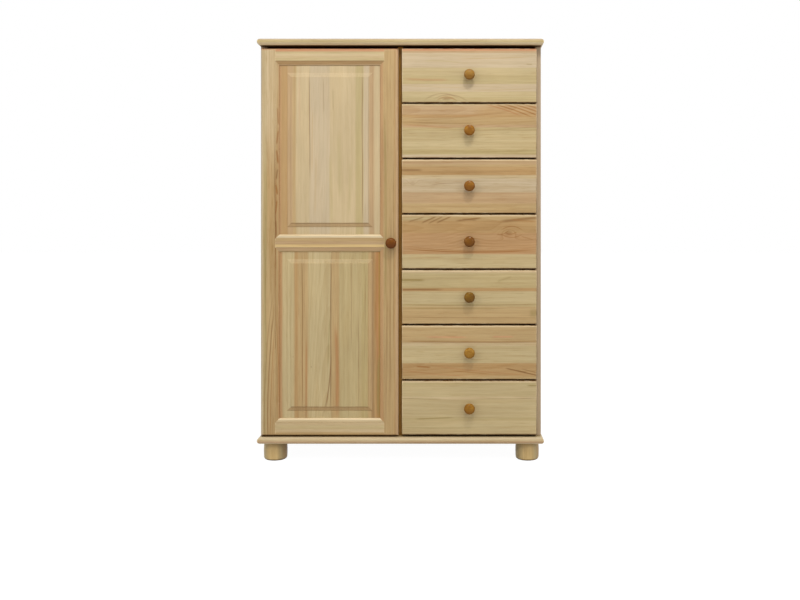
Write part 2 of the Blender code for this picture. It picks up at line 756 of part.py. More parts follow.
def dovetail(middle, clear, mouth):
    """The section of a dovetail at the front end of a box side, or of its groove."""
    neck = DOVETAIL_NECK / 2 + clear
    tip = DOVETAIL_TIP / 2 + clear
    end = DOOR_BACK - DOVETAIL_DEPTH + CLEAR - clear
    return [(middle - neck, mouth), (middle - neck, DOOR_BACK), (middle - tip, end),
            (middle + tip, end), (middle + neck, DOOR_BACK), (middle + neck, mouth)]


def make_drawer_front(name):
    low = (FRONT_LEFT, FACE_Y, FRONT_BOTTOM)
    high = (FRONT_RIGHT, DOOR_BACK, FRONT_BOTTOM + FRONT_HEIGHT)
    bm = box_bmesh(low, high)
    round_over(bm, edges_on(bm, lambda co: near(co.y, FACE_Y)), FRONT_ROUND, FRONT_ROUND_STEPS)
    front = add_object(name, bm, PARTS)
    groove_low = FRONT_BOTTOM - OVERRUN
    groove_high = BOX_TOP + CLEAR
    for side, label in ((-1, "left"), (1, "right")):
        middle = FRONT_MIDDLE + side * (BOX_HALF - BOX_SIDE / 2)
        outline = dovetail(middle, CLEAR, DOOR_BACK + OVERRUN)
        place = Matrix.Translation((0, 0, (groove_low + groove_high) / 2))
        groove = flat_shape(label + "_dovetail_groove", outline, groove_high - groove_low, place, CUTTERS)
        cut(front, hide_cutter(groove))
    reach = BOX_HALF - BOX_SIDE + BOTTOM_GROOVE
    slot_low = BOX_BOTTOM + BOTTOM_LIFT
    slot = box_cutter(
        "front_slot",
        (FRONT_MIDDLE - reach, DOOR_BACK - BOTTOM_GROOVE, slot_low),
        (FRONT_MIDDLE + reach, DOOR_BACK + OVERRUN, slot_low + BOTTOM_THICK + 2 * CLEAR),
    )
    cut(front, slot, knob_bore("drawer_knob_bore", FRONT_MIDDLE, FRONT_BOTTOM + FRONT_HEIGHT / 2))
    return finish(front, PINE, smooth=True)


def make_drawer_box(name):
    """Two sides and the back, dovetailed at the front and grooved for runners and bottom."""
    left = FRONT_MIDDLE - BOX_HALF
    right = FRONT_MIDDLE + BOX_HALF
    inner_back = BOX_REAR - BOX_BACK
    outline = [(left, BOX_FRONT)]
    outline += dovetail(left + BOX_SIDE / 2, 0, BOX_FRONT)
    outline += [(left + BOX_SIDE, BOX_FRONT), (left + BOX_SIDE, inner_back)]
    outline += [(right - BOX_SIDE, inner_back), (right - BOX_SIDE, BOX_FRONT)]
    outline += dovetail(right - BOX_SIDE / 2, 0, BOX_FRONT)
    outline += [(right, BOX_FRONT), (right, BOX_REAR), (left, BOX_REAR)]
    place = Matrix.Translation((0, 0, (BOX_BOTTOM + BOX_TOP) / 2))
    item = flat_shape(name, outline, BOX_TOP - BOX_BOTTOM, place)
    groove_front = BOX_FRONT + GROOVE_STOP
    groove_low = RUNNER_Z - RUNNER_HEIGHT / 2 - RUNNER_PLAY
    groove_high = RUNNER_Z + RUNNER_HEIGHT / 2 + CLEAR
    slot_low = BOX_BOTTOM + BOTTOM_LIFT
    slot_high = slot_low + BOTTOM_THICK + 2 * CLEAR
    slot_reach = BOX_HALF - BOX_SIDE + BOTTOM_GROOVE
    cut(
        item,
        box_cutter("left_runner_groove", (left - OVERRUN, groove_front, groove_low),
                   (left + RUNNER_GROOVE, BOX_REAR + OVERRUN, groove_high)),
        box_cutter("right_runner_groove", (right - RUNNER_GROOVE, groove_front, groove_low),
                   (right + OVERRUN, BOX_REAR + OVERRUN, groove_high)),
        box_cutter("bottom_slot", (FRONT_MIDDLE - slot_reach, FACE_Y, slot_low),
                   (FRONT_MIDDLE + slot_reach, BOX_REAR + OVERRUN, slot_high)),
        box_cutter("back_clearance", (left + BOX_SIDE, inner_back - OVERRUN, BOX_BOTTOM - OVERRUN),
                   (right - BOX_SIDE, BOX_REAR + OVERRUN, slot_high)),
    )
    return finish(item, RAW_PINE)


def make_drawer_bottom(name):
    reach = BOX_HALF - BOX_SIDE + BOTTOM_GROOVE - CLEAR
    low_z = BOX_BOTTOM + BOTTOM_LIFT + CLEAR
    low = (FRONT_MIDDLE - reach, DOOR_BACK - BOTTOM_GROOVE + CLEAR, low_z)
    high = (FRONT_MIDDLE + reach, BOX_REAR, low_z + BOTTOM_THICK)
    return finish(box(name, low, high), FIBREBOARD)


def make_first_drawer():
    return [
        make_drawer_front("drawer_1_front"),
        make_drawer_box("drawer_1_box"),
        make_drawer_bottom("drawer_1_bottom"),
        make_knob("drawer_1_knob", FRONT_MIDDLE, FRONT_BOTTOM + FRONT_HEIGHT / 2),
    ]


# Joints

def joint_empty(name, place):
    marker = bpy.data.objects.new(name, None)
    marker.location = place
    PARTS.objects.link(marker)
    return marker


def hang_on(pieces, marker):
    """Move each piece's origin to the joint's empty, and parent it there."""
    for item in pieces:
        item.data.transform(Matrix.Translation(-marker.location))
        item.parent = marker


def repeat_drawer(pieces, index):
    """Another drawer, with its own objects on the first one's meshes."""
    place = (FRONT_MIDDLE, FACE_Y, FRONT_BOTTOM + (index - 1) * FRONT_PITCH)
    marker = joint_empty(f"drawer_{index}_slide", place)
    for first in pieces:
        item = bpy.data.objects.new(first.name.replace("drawer_1", f"drawer_{index}"), first.data)
        PARTS.objects.link(item)
        item.parent = marker


def build_wardrobe():
    make_boards()
    make_sides()
    make_back()
    make_feet()
    make_shelf()
    make_rail()
    door_pieces = make_door()
    axis = (DOOR_LEFT + HINGE_IN, FACE_Y + HINGE_BACK, DOOR_MIDDLE)
    hang_on(door_pieces, joint_empty("door_axis", axis))
    drawer = make_first_drawer()
    hang_on(drawer, joint_empty("drawer_1_slide", (FRONT_MIDDLE, FACE_Y, FRONT_BOTTOM)))
    for index in range(2, DRAWERS + 1):
        repeat_drawer(drawer, index)


build_wardrobe()
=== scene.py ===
"""The looks of a pine wardrobe with one framed door and seven drawers.

Lengths are in metres, apart from the sizes of knots and the widths of strokes and trims, which are
in millimetres. Every board has its own figure: growth rings round a pith line that runs behind its
face, staves glued side by side, knots, fine fibres, and a thin clear lacquer.
"""

import math

import bmesh
import bpy
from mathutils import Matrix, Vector


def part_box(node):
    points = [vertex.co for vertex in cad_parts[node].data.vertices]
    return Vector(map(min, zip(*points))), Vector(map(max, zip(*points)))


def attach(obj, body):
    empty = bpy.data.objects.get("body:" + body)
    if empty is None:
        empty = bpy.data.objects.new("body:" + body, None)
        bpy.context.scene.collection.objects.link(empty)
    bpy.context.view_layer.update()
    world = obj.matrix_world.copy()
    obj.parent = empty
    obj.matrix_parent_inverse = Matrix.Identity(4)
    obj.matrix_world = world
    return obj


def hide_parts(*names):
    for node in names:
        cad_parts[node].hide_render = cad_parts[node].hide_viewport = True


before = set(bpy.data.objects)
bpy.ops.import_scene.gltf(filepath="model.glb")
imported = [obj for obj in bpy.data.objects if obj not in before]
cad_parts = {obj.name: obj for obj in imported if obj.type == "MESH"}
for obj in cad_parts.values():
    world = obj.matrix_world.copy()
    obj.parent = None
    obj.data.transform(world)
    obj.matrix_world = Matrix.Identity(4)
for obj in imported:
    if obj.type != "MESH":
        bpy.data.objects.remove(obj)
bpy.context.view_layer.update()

# Sizes of the finer pieces, as the frame has them
WELD = 0.00001
DOOR_ROUND = 0.009
STICK_WIDTH = 0.015
STICK_DEPTH = 0.006
QUIRK = 0.0012
GROOVE_FRONT = 0.007
GROOVE_BACK = 0.0128
GROOVE_DEPTH = 0.010
# Insets of a raised panel from its edge inwards, each with its rise: tongue, bevel, quirk, slope, quirk
PANEL_STEPS = ((0.009, 0.0), (0.026, 0.0004), (0.0012, 0.0014), (0.0118, 0.0014), (0.0015, 0.0020))
SLOPE_START = 0.035
SLOPE_END = 0.0495
KNOB_SEAT = 0.0003
SHANK_RADIUS = 0.002
SCREW_HEAD_RADIUS = 0.004
SCREW_HEAD_THICK = 0.0022
SPIGOT_RADIUS = 0.012
SPIGOT_LENGTH = 0.014

# How finely the round stretches are divided
ROUND_STEPS = 8
TURNED_STEPS = 64
PROFILE_STEPS = 4

# Turned outlines: share of the height, and share of the radius
KNOB_SHARES = (
    (1.0, 0.0), (0.998, 0.16), (0.99, 0.32), (0.968, 0.56), (0.925, 0.75), (0.86, 0.885), (0.77, 0.97),
    (0.68, 1.0), (0.59, 0.975), (0.51, 0.88), (0.44, 0.74), (0.38, 0.58), (0.32, 0.48), (0.22, 0.44),
    (0.11, 0.47), (0.0, 0.56),
)
FOOT_SHARES = (
    (1.0, 0.90), (0.95, 0.94), (0.80, 0.98), (0.55, 1.0), (0.30, 0.995), (0.12, 0.98), (0.04, 0.93),
    (0.0, 0.84),
)


# Small helpers for shapes

def span(item):
    """The lowest and highest corner of a piece."""
    corners = [vert.co for vert in item.data.vertices]
    low = Vector([min(co[axis] for co in corners) for axis in range(3)])
    high = Vector([max(co[axis] for co in corners) for axis in range(3)])
    return low, high


def placed(name, data):
    """A new object in the scene."""
    item = bpy.data.objects.new(name, data)
    bpy.context.scene.collection.objects.link(item)
    return item


def meshed(name, bm):
    """A new object in the scene with the mesh of a bmesh."""
    mesh = bpy.data.meshes.new(name)
    bm.to_mesh(mesh)
    bm.free()
    return placed(name, mesh)


def weigh_normals(item):
    """Let broad flat faces stay flat where they meet a rounded edge."""
    weigh = item.modifiers.new("flat_faces", "WEIGHTED_NORMAL")
    weigh.mode = "FACE_AREA"
    weigh.weight = 100
    weigh.keep_sharp = True


def piece(name, bm, body, slot, *replaced, sharp=40):
    """Turn a bmesh into a finished piece that rides on a body in place of some nodes."""
    bmesh.ops.remove_doubles(bm, verts=bm.verts, dist=WELD)
    bmesh.ops.recalc_face_normals(bm, faces=bm.faces)
    item = meshed(name, bm)
    item.data.shade_smooth()
    item.data.set_sharp_from_angle(angle=math.radians(sharp))
    weigh_normals(item)
    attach(item, body)
    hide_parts(*replaced)
    return item


def smooth_copy(node, body, slot):
    """A copy of a node with its triangles merged and its rounds shaded smooth."""
    bm = bmesh.new()
    bm.from_mesh(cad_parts[node].data)
    return piece(node + "_fine", bm, body, slot, node)


def box_bmesh(low, high):
    bm = bmesh.new()
    bmesh.ops.create_cube(bm, size=1)
    low = Vector(low)
    high = Vector(high)
    bmesh.ops.scale(bm, vec=high - low, verts=bm.verts)
    bmesh.ops.translate(bm, vec=(low + high) / 2, verts=bm.verts)
    return bm


def extruded(points, run):
    """A bmesh of a flat outline, drawn out along a direction."""
    bm = bmesh.new()
    face = bm.faces.new([bm.verts.new(point) for point in points])
    grown = bmesh.ops.extrude_face_region(bm, geom=[face])
    ends = [part for part in grown["geom"] if isinstance(part, bmesh.types.BMVert)]
    bmesh.ops.translate(bm, vec=run, verts=ends)
    return bm


def smooth_profile(points):
    """More points on the smooth curve that passes through the given ones."""
    padded = [points[0], *points, points[-1]]
    curve = []
    for before, start, end, after in zip(padded, padded[1:], padded[2:], padded[3:]):
        for step in range(PROFILE_STEPS):
            t = step / PROFILE_STEPS
            curve.append(tuple(
                b + t * ((c - a) + t * ((2 * a - 5 * b + 4 * c - d) + t * (3 * b - a - 3 * c + d))) / 2
                for a, b, c, d in zip(before, start, end, after)
            ))
    return curve + [points[-1]]


def turned(profile, centre, out):
    """Turn a profile of (radius, height) points round the line through centre along out."""
    bm = bmesh.new()
    out = Vector(out)
    side = Vector((1, 0, 0))
    verts = [bm.verts.new(Vector(centre) + side * radius + out * height) for radius, height in profile]
    edges = [bm.edges.new(pair) for pair in zip(verts, verts[1:])]
    bmesh.ops.spin(
        bm, geom=verts + edges, cent=centre, axis=out, angle=math.tau,
        steps=TURNED_STEPS, use_merge=True,
    )
    return bm


# The door frame: moulded stiles, coped rails and raised panels

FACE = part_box("door_left_stile")[0].y
DOOR_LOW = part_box("door_left_stile")[0]
DOOR_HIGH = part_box("door_right_stile")[1]
STILE_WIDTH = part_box("door_left_stile")[1].x - DOOR_LOW.x
FRAME_BACK = DOOR_HIGH.y


def moulding_reach(depth):
    """How far the ovolo has grown across at a depth behind the face."""
    drop = min(max(depth - QUIRK, 0) / (STICK_DEPTH - QUIRK), 1)
    return STICK_WIDTH * math.sin(math.acos(1 - drop))


def moulded_edge(width):
    """The moulded and grooved inner edge of a member: across, and behind the face."""
    start = width - STICK_WIDTH
    points = [(start, 0)]
    for step in range(ROUND_STEPS + 1):
        angle = math.radians(90) * step / ROUND_STEPS
        drop = (STICK_DEPTH - QUIRK) * (1 - math.cos(angle))
        points.append((start + STICK_WIDTH * math.sin(angle), QUIRK + drop))
    floor = width - GROOVE_DEPTH
    thick = FRAME_BACK - FACE
    points += [(width, GROOVE_FRONT), (floor, GROOVE_FRONT), (floor, GROOVE_BACK)]
    return points + [(width, GROOVE_BACK), (width, thick)]


def member_section(width, two_edges=False):
    right = moulded_edge(width)
    if two_edges:
        left = [(width - across, depth) for across, depth in reversed(right)]
    else:
        left = [(0, FRAME_BACK - FACE), (0, 0)]
    return left + right


def round_the_door(bm):
    """Round the front edges over, wherever this member lies on the outside of the door."""
    edges = (
        (0, DOOR_LOW.x, 1), (0, DOOR_HIGH.x, -1), (2, DOOR_LOW.z, 1), (2, DOOR_HIGH.z, -1),
    )
    for axis, edge, inward in edges:
        for step in range(1, ROUND_STEPS + 1):
            angle = math.radians(90) * step / ROUND_STEPS
            place = Vector((0, 0, 0))
            place[axis] = edge + inward * DOOR_ROUND * (1 - math.cos(angle))
            normal = Vector((0, 0, 0))
            normal[axis] = 1
            bmesh.ops.bisect_plane(
                bm, geom=bm.verts[:] + bm.edges[:] + bm.faces[:], plane_co=place, plane_no=normal,
            )
    for vert in bm.verts:
        beyond = max(
            DOOR_ROUND - inward * (vert.co[axis] - edge) for axis, edge, inward in edges
        )
        beyond = min(max(beyond, 0), DOOR_ROUND)
        rounded = FACE + DOOR_ROUND - math.sqrt(DOOR_ROUND ** 2 - beyond ** 2)
        vert.co.y = max(vert.co.y, rounded)


def stile(side):
    """One full-height stile, at the left or the right of the door."""
    node = f"door_{side}_stile"
    low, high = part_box(node)
    edge, inward = (low.x, 1) if side == "left" else (high.x, -1)
    section = [(edge + inward * across, FACE + depth, low.z)
               for across, depth in member_section(STILE_WIDTH)]
    bm = extruded(section, (0, 0, high.z - low.z))
    round_the_door(bm)
    return piece(node + "_moulded", bm, "door", "lacquered_pine_frame", node, sharp=30)


def rail(where, up, two_edges=False):
    """One rail, its ends coped over the moulding of the stiles."""
    node = f"door_{where}_rail"
    low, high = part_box(node)
    left = DOOR_LOW.x + STILE_WIDTH - STICK_WIDTH
    right = DOOR_HIGH.x - STILE_WIDTH + STICK_WIDTH
    edge = low.z if up > 0 else high.z
    section = [(left, FACE + depth, edge + up * across)
               for across, depth in member_section(high.z - low.z, two_edges)]
    bm = extruded(section, (right - left, 0, 0))
    round_the_door(bm)
    for vert in bm.verts:
        reach = moulding_reach(vert.co.y - FACE)
        vert.co.x += reach if abs(vert.co.x - left) < WELD else -reach
    return piece(node + "_moulded", bm, "door", "lacquered_pine_frame", node, sharp=30)


def raised_panel(where):
    """A panel with a wide bevel, a slope between two quirks, and a raised field."""
    node = f"door_{where}_panel"
    low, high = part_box(node)
    bm = box_bmesh((low.x, FACE + GROOVE_FRONT, low.z), (high.x, high.y, high.z))
    bm.normal_update()
    field = [min(bm.faces, key=lambda face: face.calc_center_median().y)]
    for inward, rise in PANEL_STEPS:
        bmesh.ops.inset_individual(bm, faces=field, thickness=inward, depth=rise, use_even_offset=True)
    return piece(node + "_raised", bm, "door", "lacquered_pine_panel", node, sharp=30)


# Turned pieces

def knob(node, body):
    """A turned knob with the shank and the head of its screw."""
    low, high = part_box(node)
    centre = ((low.x + high.x) / 2, FACE, (low.z + high.z) / 2)
    radius = (high.x - low.x) / 2
    reach = FACE - low.y - KNOB_SEAT
    profile = smooth_profile([(share * radius, KNOB_SEAT + along * reach) for along, share in KNOB_SHARES])
    head = FRAME_BACK - FACE + KNOB_SEAT
    profile += [
        (SHANK_RADIUS, KNOB_SEAT), (SHANK_RADIUS, -head), (SCREW_HEAD_RADIUS, -head),
        (SCREW_HEAD_RADIUS, -head - SCREW_HEAD_THICK), (0, -head - SCREW_HEAD_THICK),
    ]
    return piece(node + "_turned", turned(profile, centre, (0, -1, 0)), body, "stained_knob", node)


def knob_height(node):
    """The height of a knob's middle."""
    low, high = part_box(node)
    return (low.z + high.z) / 2


def foot(node):
    """A turned foot with the spigot that goes up into the base board."""
    low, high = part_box(node)
    centre = ((low.x + high.x) / 2, (low.y + high.y) / 2, low.z)
    top = high.z - SPIGOT_LENGTH
    radius = (high.x - low.x) / 2
    profile = [(0, high.z - low.z), (SPIGOT_RADIUS, high.z - low.z), (SPIGOT_RADIUS, top)]
    profile += smooth_profile([(share * radius, along * top) for along, share in FOOT_SHARES])
    profile += [(0, 0)]
    return piece(node + "_turned", turned(profile, centre, (0, 0, 1)), "carcass", "foot_pine", node)


# Node trees

def is_socket(value):
    return isinstance(value, bpy.types.NodeSocket)


def feed(sockets, values):
    """Give each named socket its plain value, or link it to the socket that makes the value."""
    for key, value in values.items():
        if is_socket(value):
            value.id_data.links.new(value, sockets[key])
        else:
            sockets[key].default_value = value


def new_node(tree, kind, inputs=None, **settings):
    """Add a node, with its settings, and its inputs as plain values or as sockets."""
    item = tree.nodes.new("ShaderNode" + kind)
    for key, value in settings.items():
        setattr(item, key, value)
    feed(item.inputs, inputs or {})
    return item


def node(kind, inputs, **settings):
    """Add a node to the tree that the sockets among its inputs are in."""
    tree = next(value.id_data for value in inputs.values() if is_socket(value))
    return new_node(tree, kind, inputs, **settings)


def maths(operation, *values, clamp=False):
    return node("Math", dict(enumerate(values)), operation=operation, use_clamp=clamp).outputs[0]


def total(first, *others):
    """The sum of some values."""
    for value in others:
        first = maths("ADD", first, value)
    return first


def times(first, *others):
    """The product of some values."""
    for value in others:
        first = maths("MULTIPLY", first, value)
    return first


def less(first, second):
    return maths("SUBTRACT", first, second)


def over(first, second):
    return maths("DIVIDE", first, second)


def bell(away):
    """1 where a value is 0, falling smoothly to nearly 0 where it is 2 or -2."""
    return maths("EXPONENT", times(away, away, -1.0))


def vectors(operation, *values):
    item = node("VectorMath", dict(enumerate(values)), operation=operation)
    return item.outputs["Value" if operation == "LENGTH" else "Vector"]


def scaled(vector, factor):
    return node("VectorMath", {0: vector, "Scale": factor}, operation="SCALE").outputs[0]


def split(vector):
    """The three parts of a vector or a colour."""
    return node("SeparateXYZ", {0: vector}).outputs


def joined(x, y, z):
    return node("CombineXYZ", {0: x, 1: y, 2: z}).outputs[0]


def object_place(tree):
    return new_node(tree, "TexCoord").outputs["Object"]


def blend(share, first, second, how="MIX"):
    """Mix two colours, which go into sockets 6 and 7 of a Mix node."""
    inputs = {0: share, 6: first, 7: second}
    return node("Mix", inputs, data_type="RGBA", blend_type=how).outputs[2]


def remap(value, low, high, start=0.0, end=1.0):
    """Stretch a value from one range to another, with soft ends."""
    inputs = {"Value": value, 1: low, 2: high, 3: start, 4: end}
    return node("MapRange", inputs, interpolation_type="SMOOTHSTEP").outputs[0]


def noise(vector, grains, detail=2.0, roughness=0.5, output=0):
    """A noise with so many grains a metre, the same on all axes or one for each."""
    if not isinstance(grains, tuple):
        grains = (grains, grains, grains)
    stretched = vectors("MULTIPLY", vector, grains)
    inputs = {"Vector": stretched, "Scale": 1.0, "Detail": detail, "Roughness": roughness}
    return node("TexNoise", inputs).outputs[output]


def centred_noise(vector, grains, reach, detail=2.0):
    """A noise vector that swings by half its reach to either side."""
    swing = vectors("SUBTRACT", noise(vector, grains, detail, output="Color"), (0.5, 0.5, 0.5))
    return scaled(swing, reach)


def ramp(value, stops, smooth=True):
    """The colour and alpha of a colour ramp with the given stops of (share, colour)."""
    item = node("ValToRGB", {0: value})
    item.color_ramp.interpolation = "LINEAR" if smooth else "CONSTANT"
    elements = item.color_ramp.elements
    while len(elements) < len(stops):
        elements.new(1.0)
    for element, (share, colour) in zip(elements, stops):
        element.position = share
        element.color = colour
    return item.outputs


def grey(value):
    return (value, value, value, 1.0)


def paint(red, green, blue):
    """A colour in 0 to 255 display values, as the shader's linear colour."""
    def linear(value):
        share = value / 255
        return share / 12.92 if share <= 0.04045 else ((share + 0.055) / 1.055) ** 2.4
    return (linear(red), linear(green), linear(blue), 1.0)


# The sockets of node groups that hold a vector or a colour; all others hold a value
VECTOR_SOCKETS = ("Grain", "Pith", "Lean", "Place", "Size", "Centred", "Half")
COLOUR_SOCKETS = ("Tone", "Colour")


def new_group(name, inputs, outputs):
    """A shader node group with named sockets, and its input and output nodes."""
    tree = bpy.data.node_groups.new(name, "ShaderNodeTree")
    for in_out, labels in (("INPUT", inputs), ("OUTPUT", outputs)):
        for label in labels:
            kind = "Vector" if label in VECTOR_SOCKETS else "Color" if label in COLOUR_SOCKETS else "Float"
            tree.interface.new_socket(label, in_out=in_out, socket_type="NodeSocket" + kind)
    return tree, tree.nodes.new("NodeGroupInput").outputs, tree.nodes.new("NodeGroupOutput").inputs


def use(group, **inputs):
    """Place a node group, with its inputs by name."""
    return node("Group", inputs, node_tree=group).outputs


# Tones of pine, as they look in even light
CREAM = paint(214, 195, 158)
SAND = paint(206, 184, 143)
STRAW = paint(200, 180, 135)
WHEAT = paint(194, 174, 127)
OLIVE = paint(190, 170, 120)
TAN = paint(193, 164, 116)
HONEY = paint(189, 154, 104)
ROSE = paint(192, 153, 107)
RUSSET = paint(184, 136, 88)
AMBER = paint(163, 112, 56)
BLUSH = paint(206, 172, 134)
SALMON = paint(206, 150, 110)
MOSS = paint(160, 140, 84)
UMBER = paint(142, 104, 60)
PALE = paint(236, 214, 172)
PUTTY = paint(204, 184, 150)
FAWN = paint(194, 163, 122)
DUSK = paint(168, 136, 92)
OCHRE = paint(176, 139, 74)
BUTTER = paint(220, 190, 132)
# Painted shade for the gaps between the drawer fronts
GAP_SHADE = paint(112, 60, 0)
# Painted shade for the divider's front edge, deep in the gap between the door and the drawers
DIVIDER_EDGE_SHADE = paint(170, 124, 50)
EDGE_ROSE = paint(190, 168, 138)
# Painted shade for the underside of the top and base boards
UNDERSIDE_SHADE = paint(110, 80, 44)
KNOT_BROWN = paint(120, 78, 42)

# The share of each linear colour that the late wood of a ring keeps
LATE_TINT = (0.70, 0.57, 0.40, 1.0)

# The noises in the wood: grains a metre along the grain, across the board and through it, detail,
# roughness, the range that is stretched to run from 0 to 1, and whether it drifts with the rings
NOISES = {
    "Streak": ((2.4, 95, 95), 3.0, 0.6, (0.34, 0.68), True),
    "Dash": ((16, 320, 320), 2.0, 0.6, (0.54, 0.70), True),
    "Fibre": ((16, 950, 950), 2.0, 0.6, (0.3, 0.7), False),
    "Cloud": ((3.5, 13, 13), 2.0, 0.5, (0.3, 0.7), False),
}

# Drift and ripple of the rings, waver of the bands, and the step in place from one seed to the next
DRIFT_GRAIN = (2, 9, 9)
DRIFT_REACH = 0.010
RIPPLE_GRAIN = (22, 60, 60)
RIPPLE_REACH = 0.0016
WAVER_GRAIN = (5, 30, 30)
SEED_STEP = (3.7, 1.9, 2.3)

# How dark a growth ring is, from its pale early wood to its hard late edge, and the faintest year
RING_STOPS = ((0.0, 0.0), (0.35, 0.10), (0.72, 0.62), (0.90, 1.0), (0.97, 0.75), (1.0, 0.0))
FAINTEST_YEAR = 0.25

# How strongly the dashes show beside the streaks, and how far clouds and fibres dim or lift the colour
DASH_SHARE = 0.9
CLOUD_LIGHT = (0.955, 1.03)
FIBRE_LIGHT = (0.95, 1.025)

# How much each part of the figure roughens the lacquer, and how far it stands up
ROUGHENING = {"Fibre": 0.08, "Edge": 0.12, "Ring": -0.05}
STANDING = {"Ring": 0.5, "Fibre": 0.4, "Streak": 0.3, "Knot": -0.6}

# Where the edges of a board are rubbed pale, partly wear and partly painted highlight: grains a metre,
# detail and roughness of the noise, the range of it that counts, how far the wear reaches at least and at
# most, and the share of that where it fades
RUB_NOISE = (40, 3.0, 0.65)
RUB_RANGE = (0.35, 0.7)
RUB_REACH = (0.0006, 0.0048)
RUB_FADE = (0.3, 1.0)

# How far a stroke's arch from end to end has risen where the stroke is whole
STROKE_FULL = 0.7

# The swell at which a knot's dark heart begins and is whole, and how much deeper its rings are
KNOT_HEART = (0.80, 0.97)
KNOT_RING_DEPTH = 0.35


def make_figure_group():
    """The figure of pine: rings, streaks, dashes, fibres and clouds, on grain coordinates in metres."""
    tree, given, result = new_group(
        "pine_figure", ("Grain", "Pith", "Lean", "Ring_Gap", "Ring_Shift", "Seed"), ("Ring", *NOISES),
    )
    grain = vectors("ADD", given["Grain"], scaled(SEED_STEP, given["Seed"]))
    drift = centred_noise(grain, DRIFT_GRAIN, DRIFT_REACH)
    ripple = centred_noise(grain, RIPPLE_GRAIN, RIPPLE_REACH, 1.0)
    leaning = scaled(given["Lean"], split(given["Grain"])[0])
    place = vectors("ADD", vectors("ADD", given["Grain"], drift), ripple)
    place = vectors("SUBTRACT", vectors("SUBTRACT", place, given["Pith"]), leaning)
    radius = vectors("LENGTH", vectors("MULTIPLY", place, (0.0, 1.0, 1.0)))
    rings = total(over(radius, given["Ring_Gap"]), given["Ring_Shift"])
    ring = ramp(maths("FRACT", rings), [(share, grey(dark)) for share, dark in RING_STOPS])[0]
    year = node("TexWhiteNoise", {"W": maths("FLOOR", rings)}, noise_dimensions="1D")
    strength = remap(year.outputs["Value"], 0.0, 1.0, FAINTEST_YEAR, 1.0)
    feed(result, {"Ring": times(ring, strength)})
    drifted = vectors("ADD", grain, drift)
    for name, (grains, detail, roughness, (low, high), drifts) in NOISES.items():
        value = noise(drifted if drifts else grain, grains, detail, roughness)
        feed(result, {name: remap(value, low, high)})
    return tree


def make_swell_group():
    """How strongly a knot swells the rings round its place, from 0 to 1 at its heart."""
    tree, given, result = new_group("knot_swell", ("Grain", "Place", "Size"), ("Swell",))
    offset = vectors("SUBTRACT", given["Grain"], given["Place"])
    distance = vectors("LENGTH", vectors("DIVIDE", offset, given["Size"]))
    feed(result, {"Swell": bell(distance)})
    return tree


def make_edge_group():
    """Where a board's edges are rubbed pale, partly wear and partly painted highlight: near two of its
    outer faces at once, and unevenly.
    """
    tree, given, result = new_group("rubbed_edge_highlight", ("Centred", "Half"), ("Edge",))
    inset = vectors("SUBTRACT", given["Half"], vectors("ABSOLUTE", given["Centred"]))
    x, y, z = split(inset)
    most = maths("MAXIMUM", maths("MAXIMUM", x, y), z)
    least = maths("MINIMUM", maths("MINIMUM", x, y), z)
    second = less(less(total(x, y, z), most), least)
    reach = remap(noise(given["Centred"], *RUB_NOISE), *RUB_RANGE, *RUB_REACH)
    feed(result, {"Edge": remap(over(second, reach), *RUB_FADE, 1.0, 0.0)})
    return tree


def make_lacquer_group():
    """The colour, gloss and relief of lacquered pine, from its tone and its figure."""
    tree, given, result = new_group(
        "lacquered_wood",
        ("Tone", "Ring", *NOISES, "Knot", "Edge", "Ring_Depth", "Streak_Depth", "Gloss", "Rubbed"),
        ("Colour", "Roughness", "Height"),
    )
    late = blend(1.0, given["Tone"], LATE_TINT, "MULTIPLY")
    colour = blend(times(given["Ring"], given["Ring_Depth"]), given["Tone"], late)
    streaked = times(given["Streak"], given["Streak_Depth"])
    dashed = times(given["Dash"], given["Streak_Depth"], DASH_SHARE)
    colour = blend(maths("ADD", streaked, dashed, clamp=True), colour, late)
    clouded = remap(given["Cloud"], 0.0, 1.0, *CLOUD_LIGHT)
    fibred = remap(given["Fibre"], 0.0, 1.0, *FIBRE_LIGHT)
    colour = scaled(colour, times(clouded, fibred))
    colour = blend(given["Knot"], colour, KNOT_BROWN)
    # Pale rubbed edges: partly wear and partly painted highlight
    colour = blend(times(given["Edge"], given["Rubbed"]), colour, PALE)
    rough = (times(given[name], share) for name, share in ROUGHENING.items())
    height = (times(given[name], share) for name, share in STANDING.items())
    feed(result, {"Colour": colour, "Roughness": total(given["Gloss"], *rough), "Height": total(*height)})
    return tree


def make_stroke_group():
    """A long tapering streak in the wood, from 0 beside it to 1 on its line."""
    labels = ("Along", "Across", "Start", "Length", "From", "Rise", "Bow", "Width")
    tree, given, result = new_group("grain_stroke", labels, ("Stroke",))
    part = over(less(given["Along"], given["Start"]), given["Length"])
    arch = times(part, less(1.0, part), 4.0)
    line = total(given["From"], times(given["Rise"], part), times(given["Bow"], arch))
    away = over(less(given["Across"], line), given["Width"])
    feed(result, {"Stroke": times(bell(away), remap(arch, 0.0, STROKE_FULL))})
    return tree


PINE_FIGURE = make_figure_group()
GRAIN_STROKE = make_stroke_group()
KNOT_SWELL = make_swell_group()
RUBBED_EDGE_HIGHLIGHT = make_edge_group()
LACQUERED_WOOD = make_lacquer_group()


# Materials

# In the tables of bands, staves, knots, strokes and trims, shares and strengths are in percent, and the
# sizes of knots and the widths of strokes and trims in millimetres
PERCENT = 0.01
MM = 0.001

# Painted shade: the colour darkens towards this brown in narrow gaps and in the corners of the mouldings,
# where little open air reaches
SHELTER_SHADE = paint(84, 42, 0)
SHELTER_SHADE_REACH = 0.012
SHELTER_SHADE_SAMPLES = 6
SHELTER_SHADE_DEPTH = 0.90

# The share of open air over which the painted shade ends and the shine comes: from and to
SHADED_AIR = (0.15, 0.75)
CLEAR_AIR = (0.3, 0.8)

# How strong the painted shade line of a gap is where the lacquer begins to lose its shine, and where none
# is left
DULLED = (0.1, 0.5)

# Finish of the pine: mirror light, roughness of the coat and height of the relief
SHEEN = 0.25
COAT_ROUGHNESS = 0.25
PINE_RELIEF = 0.00025
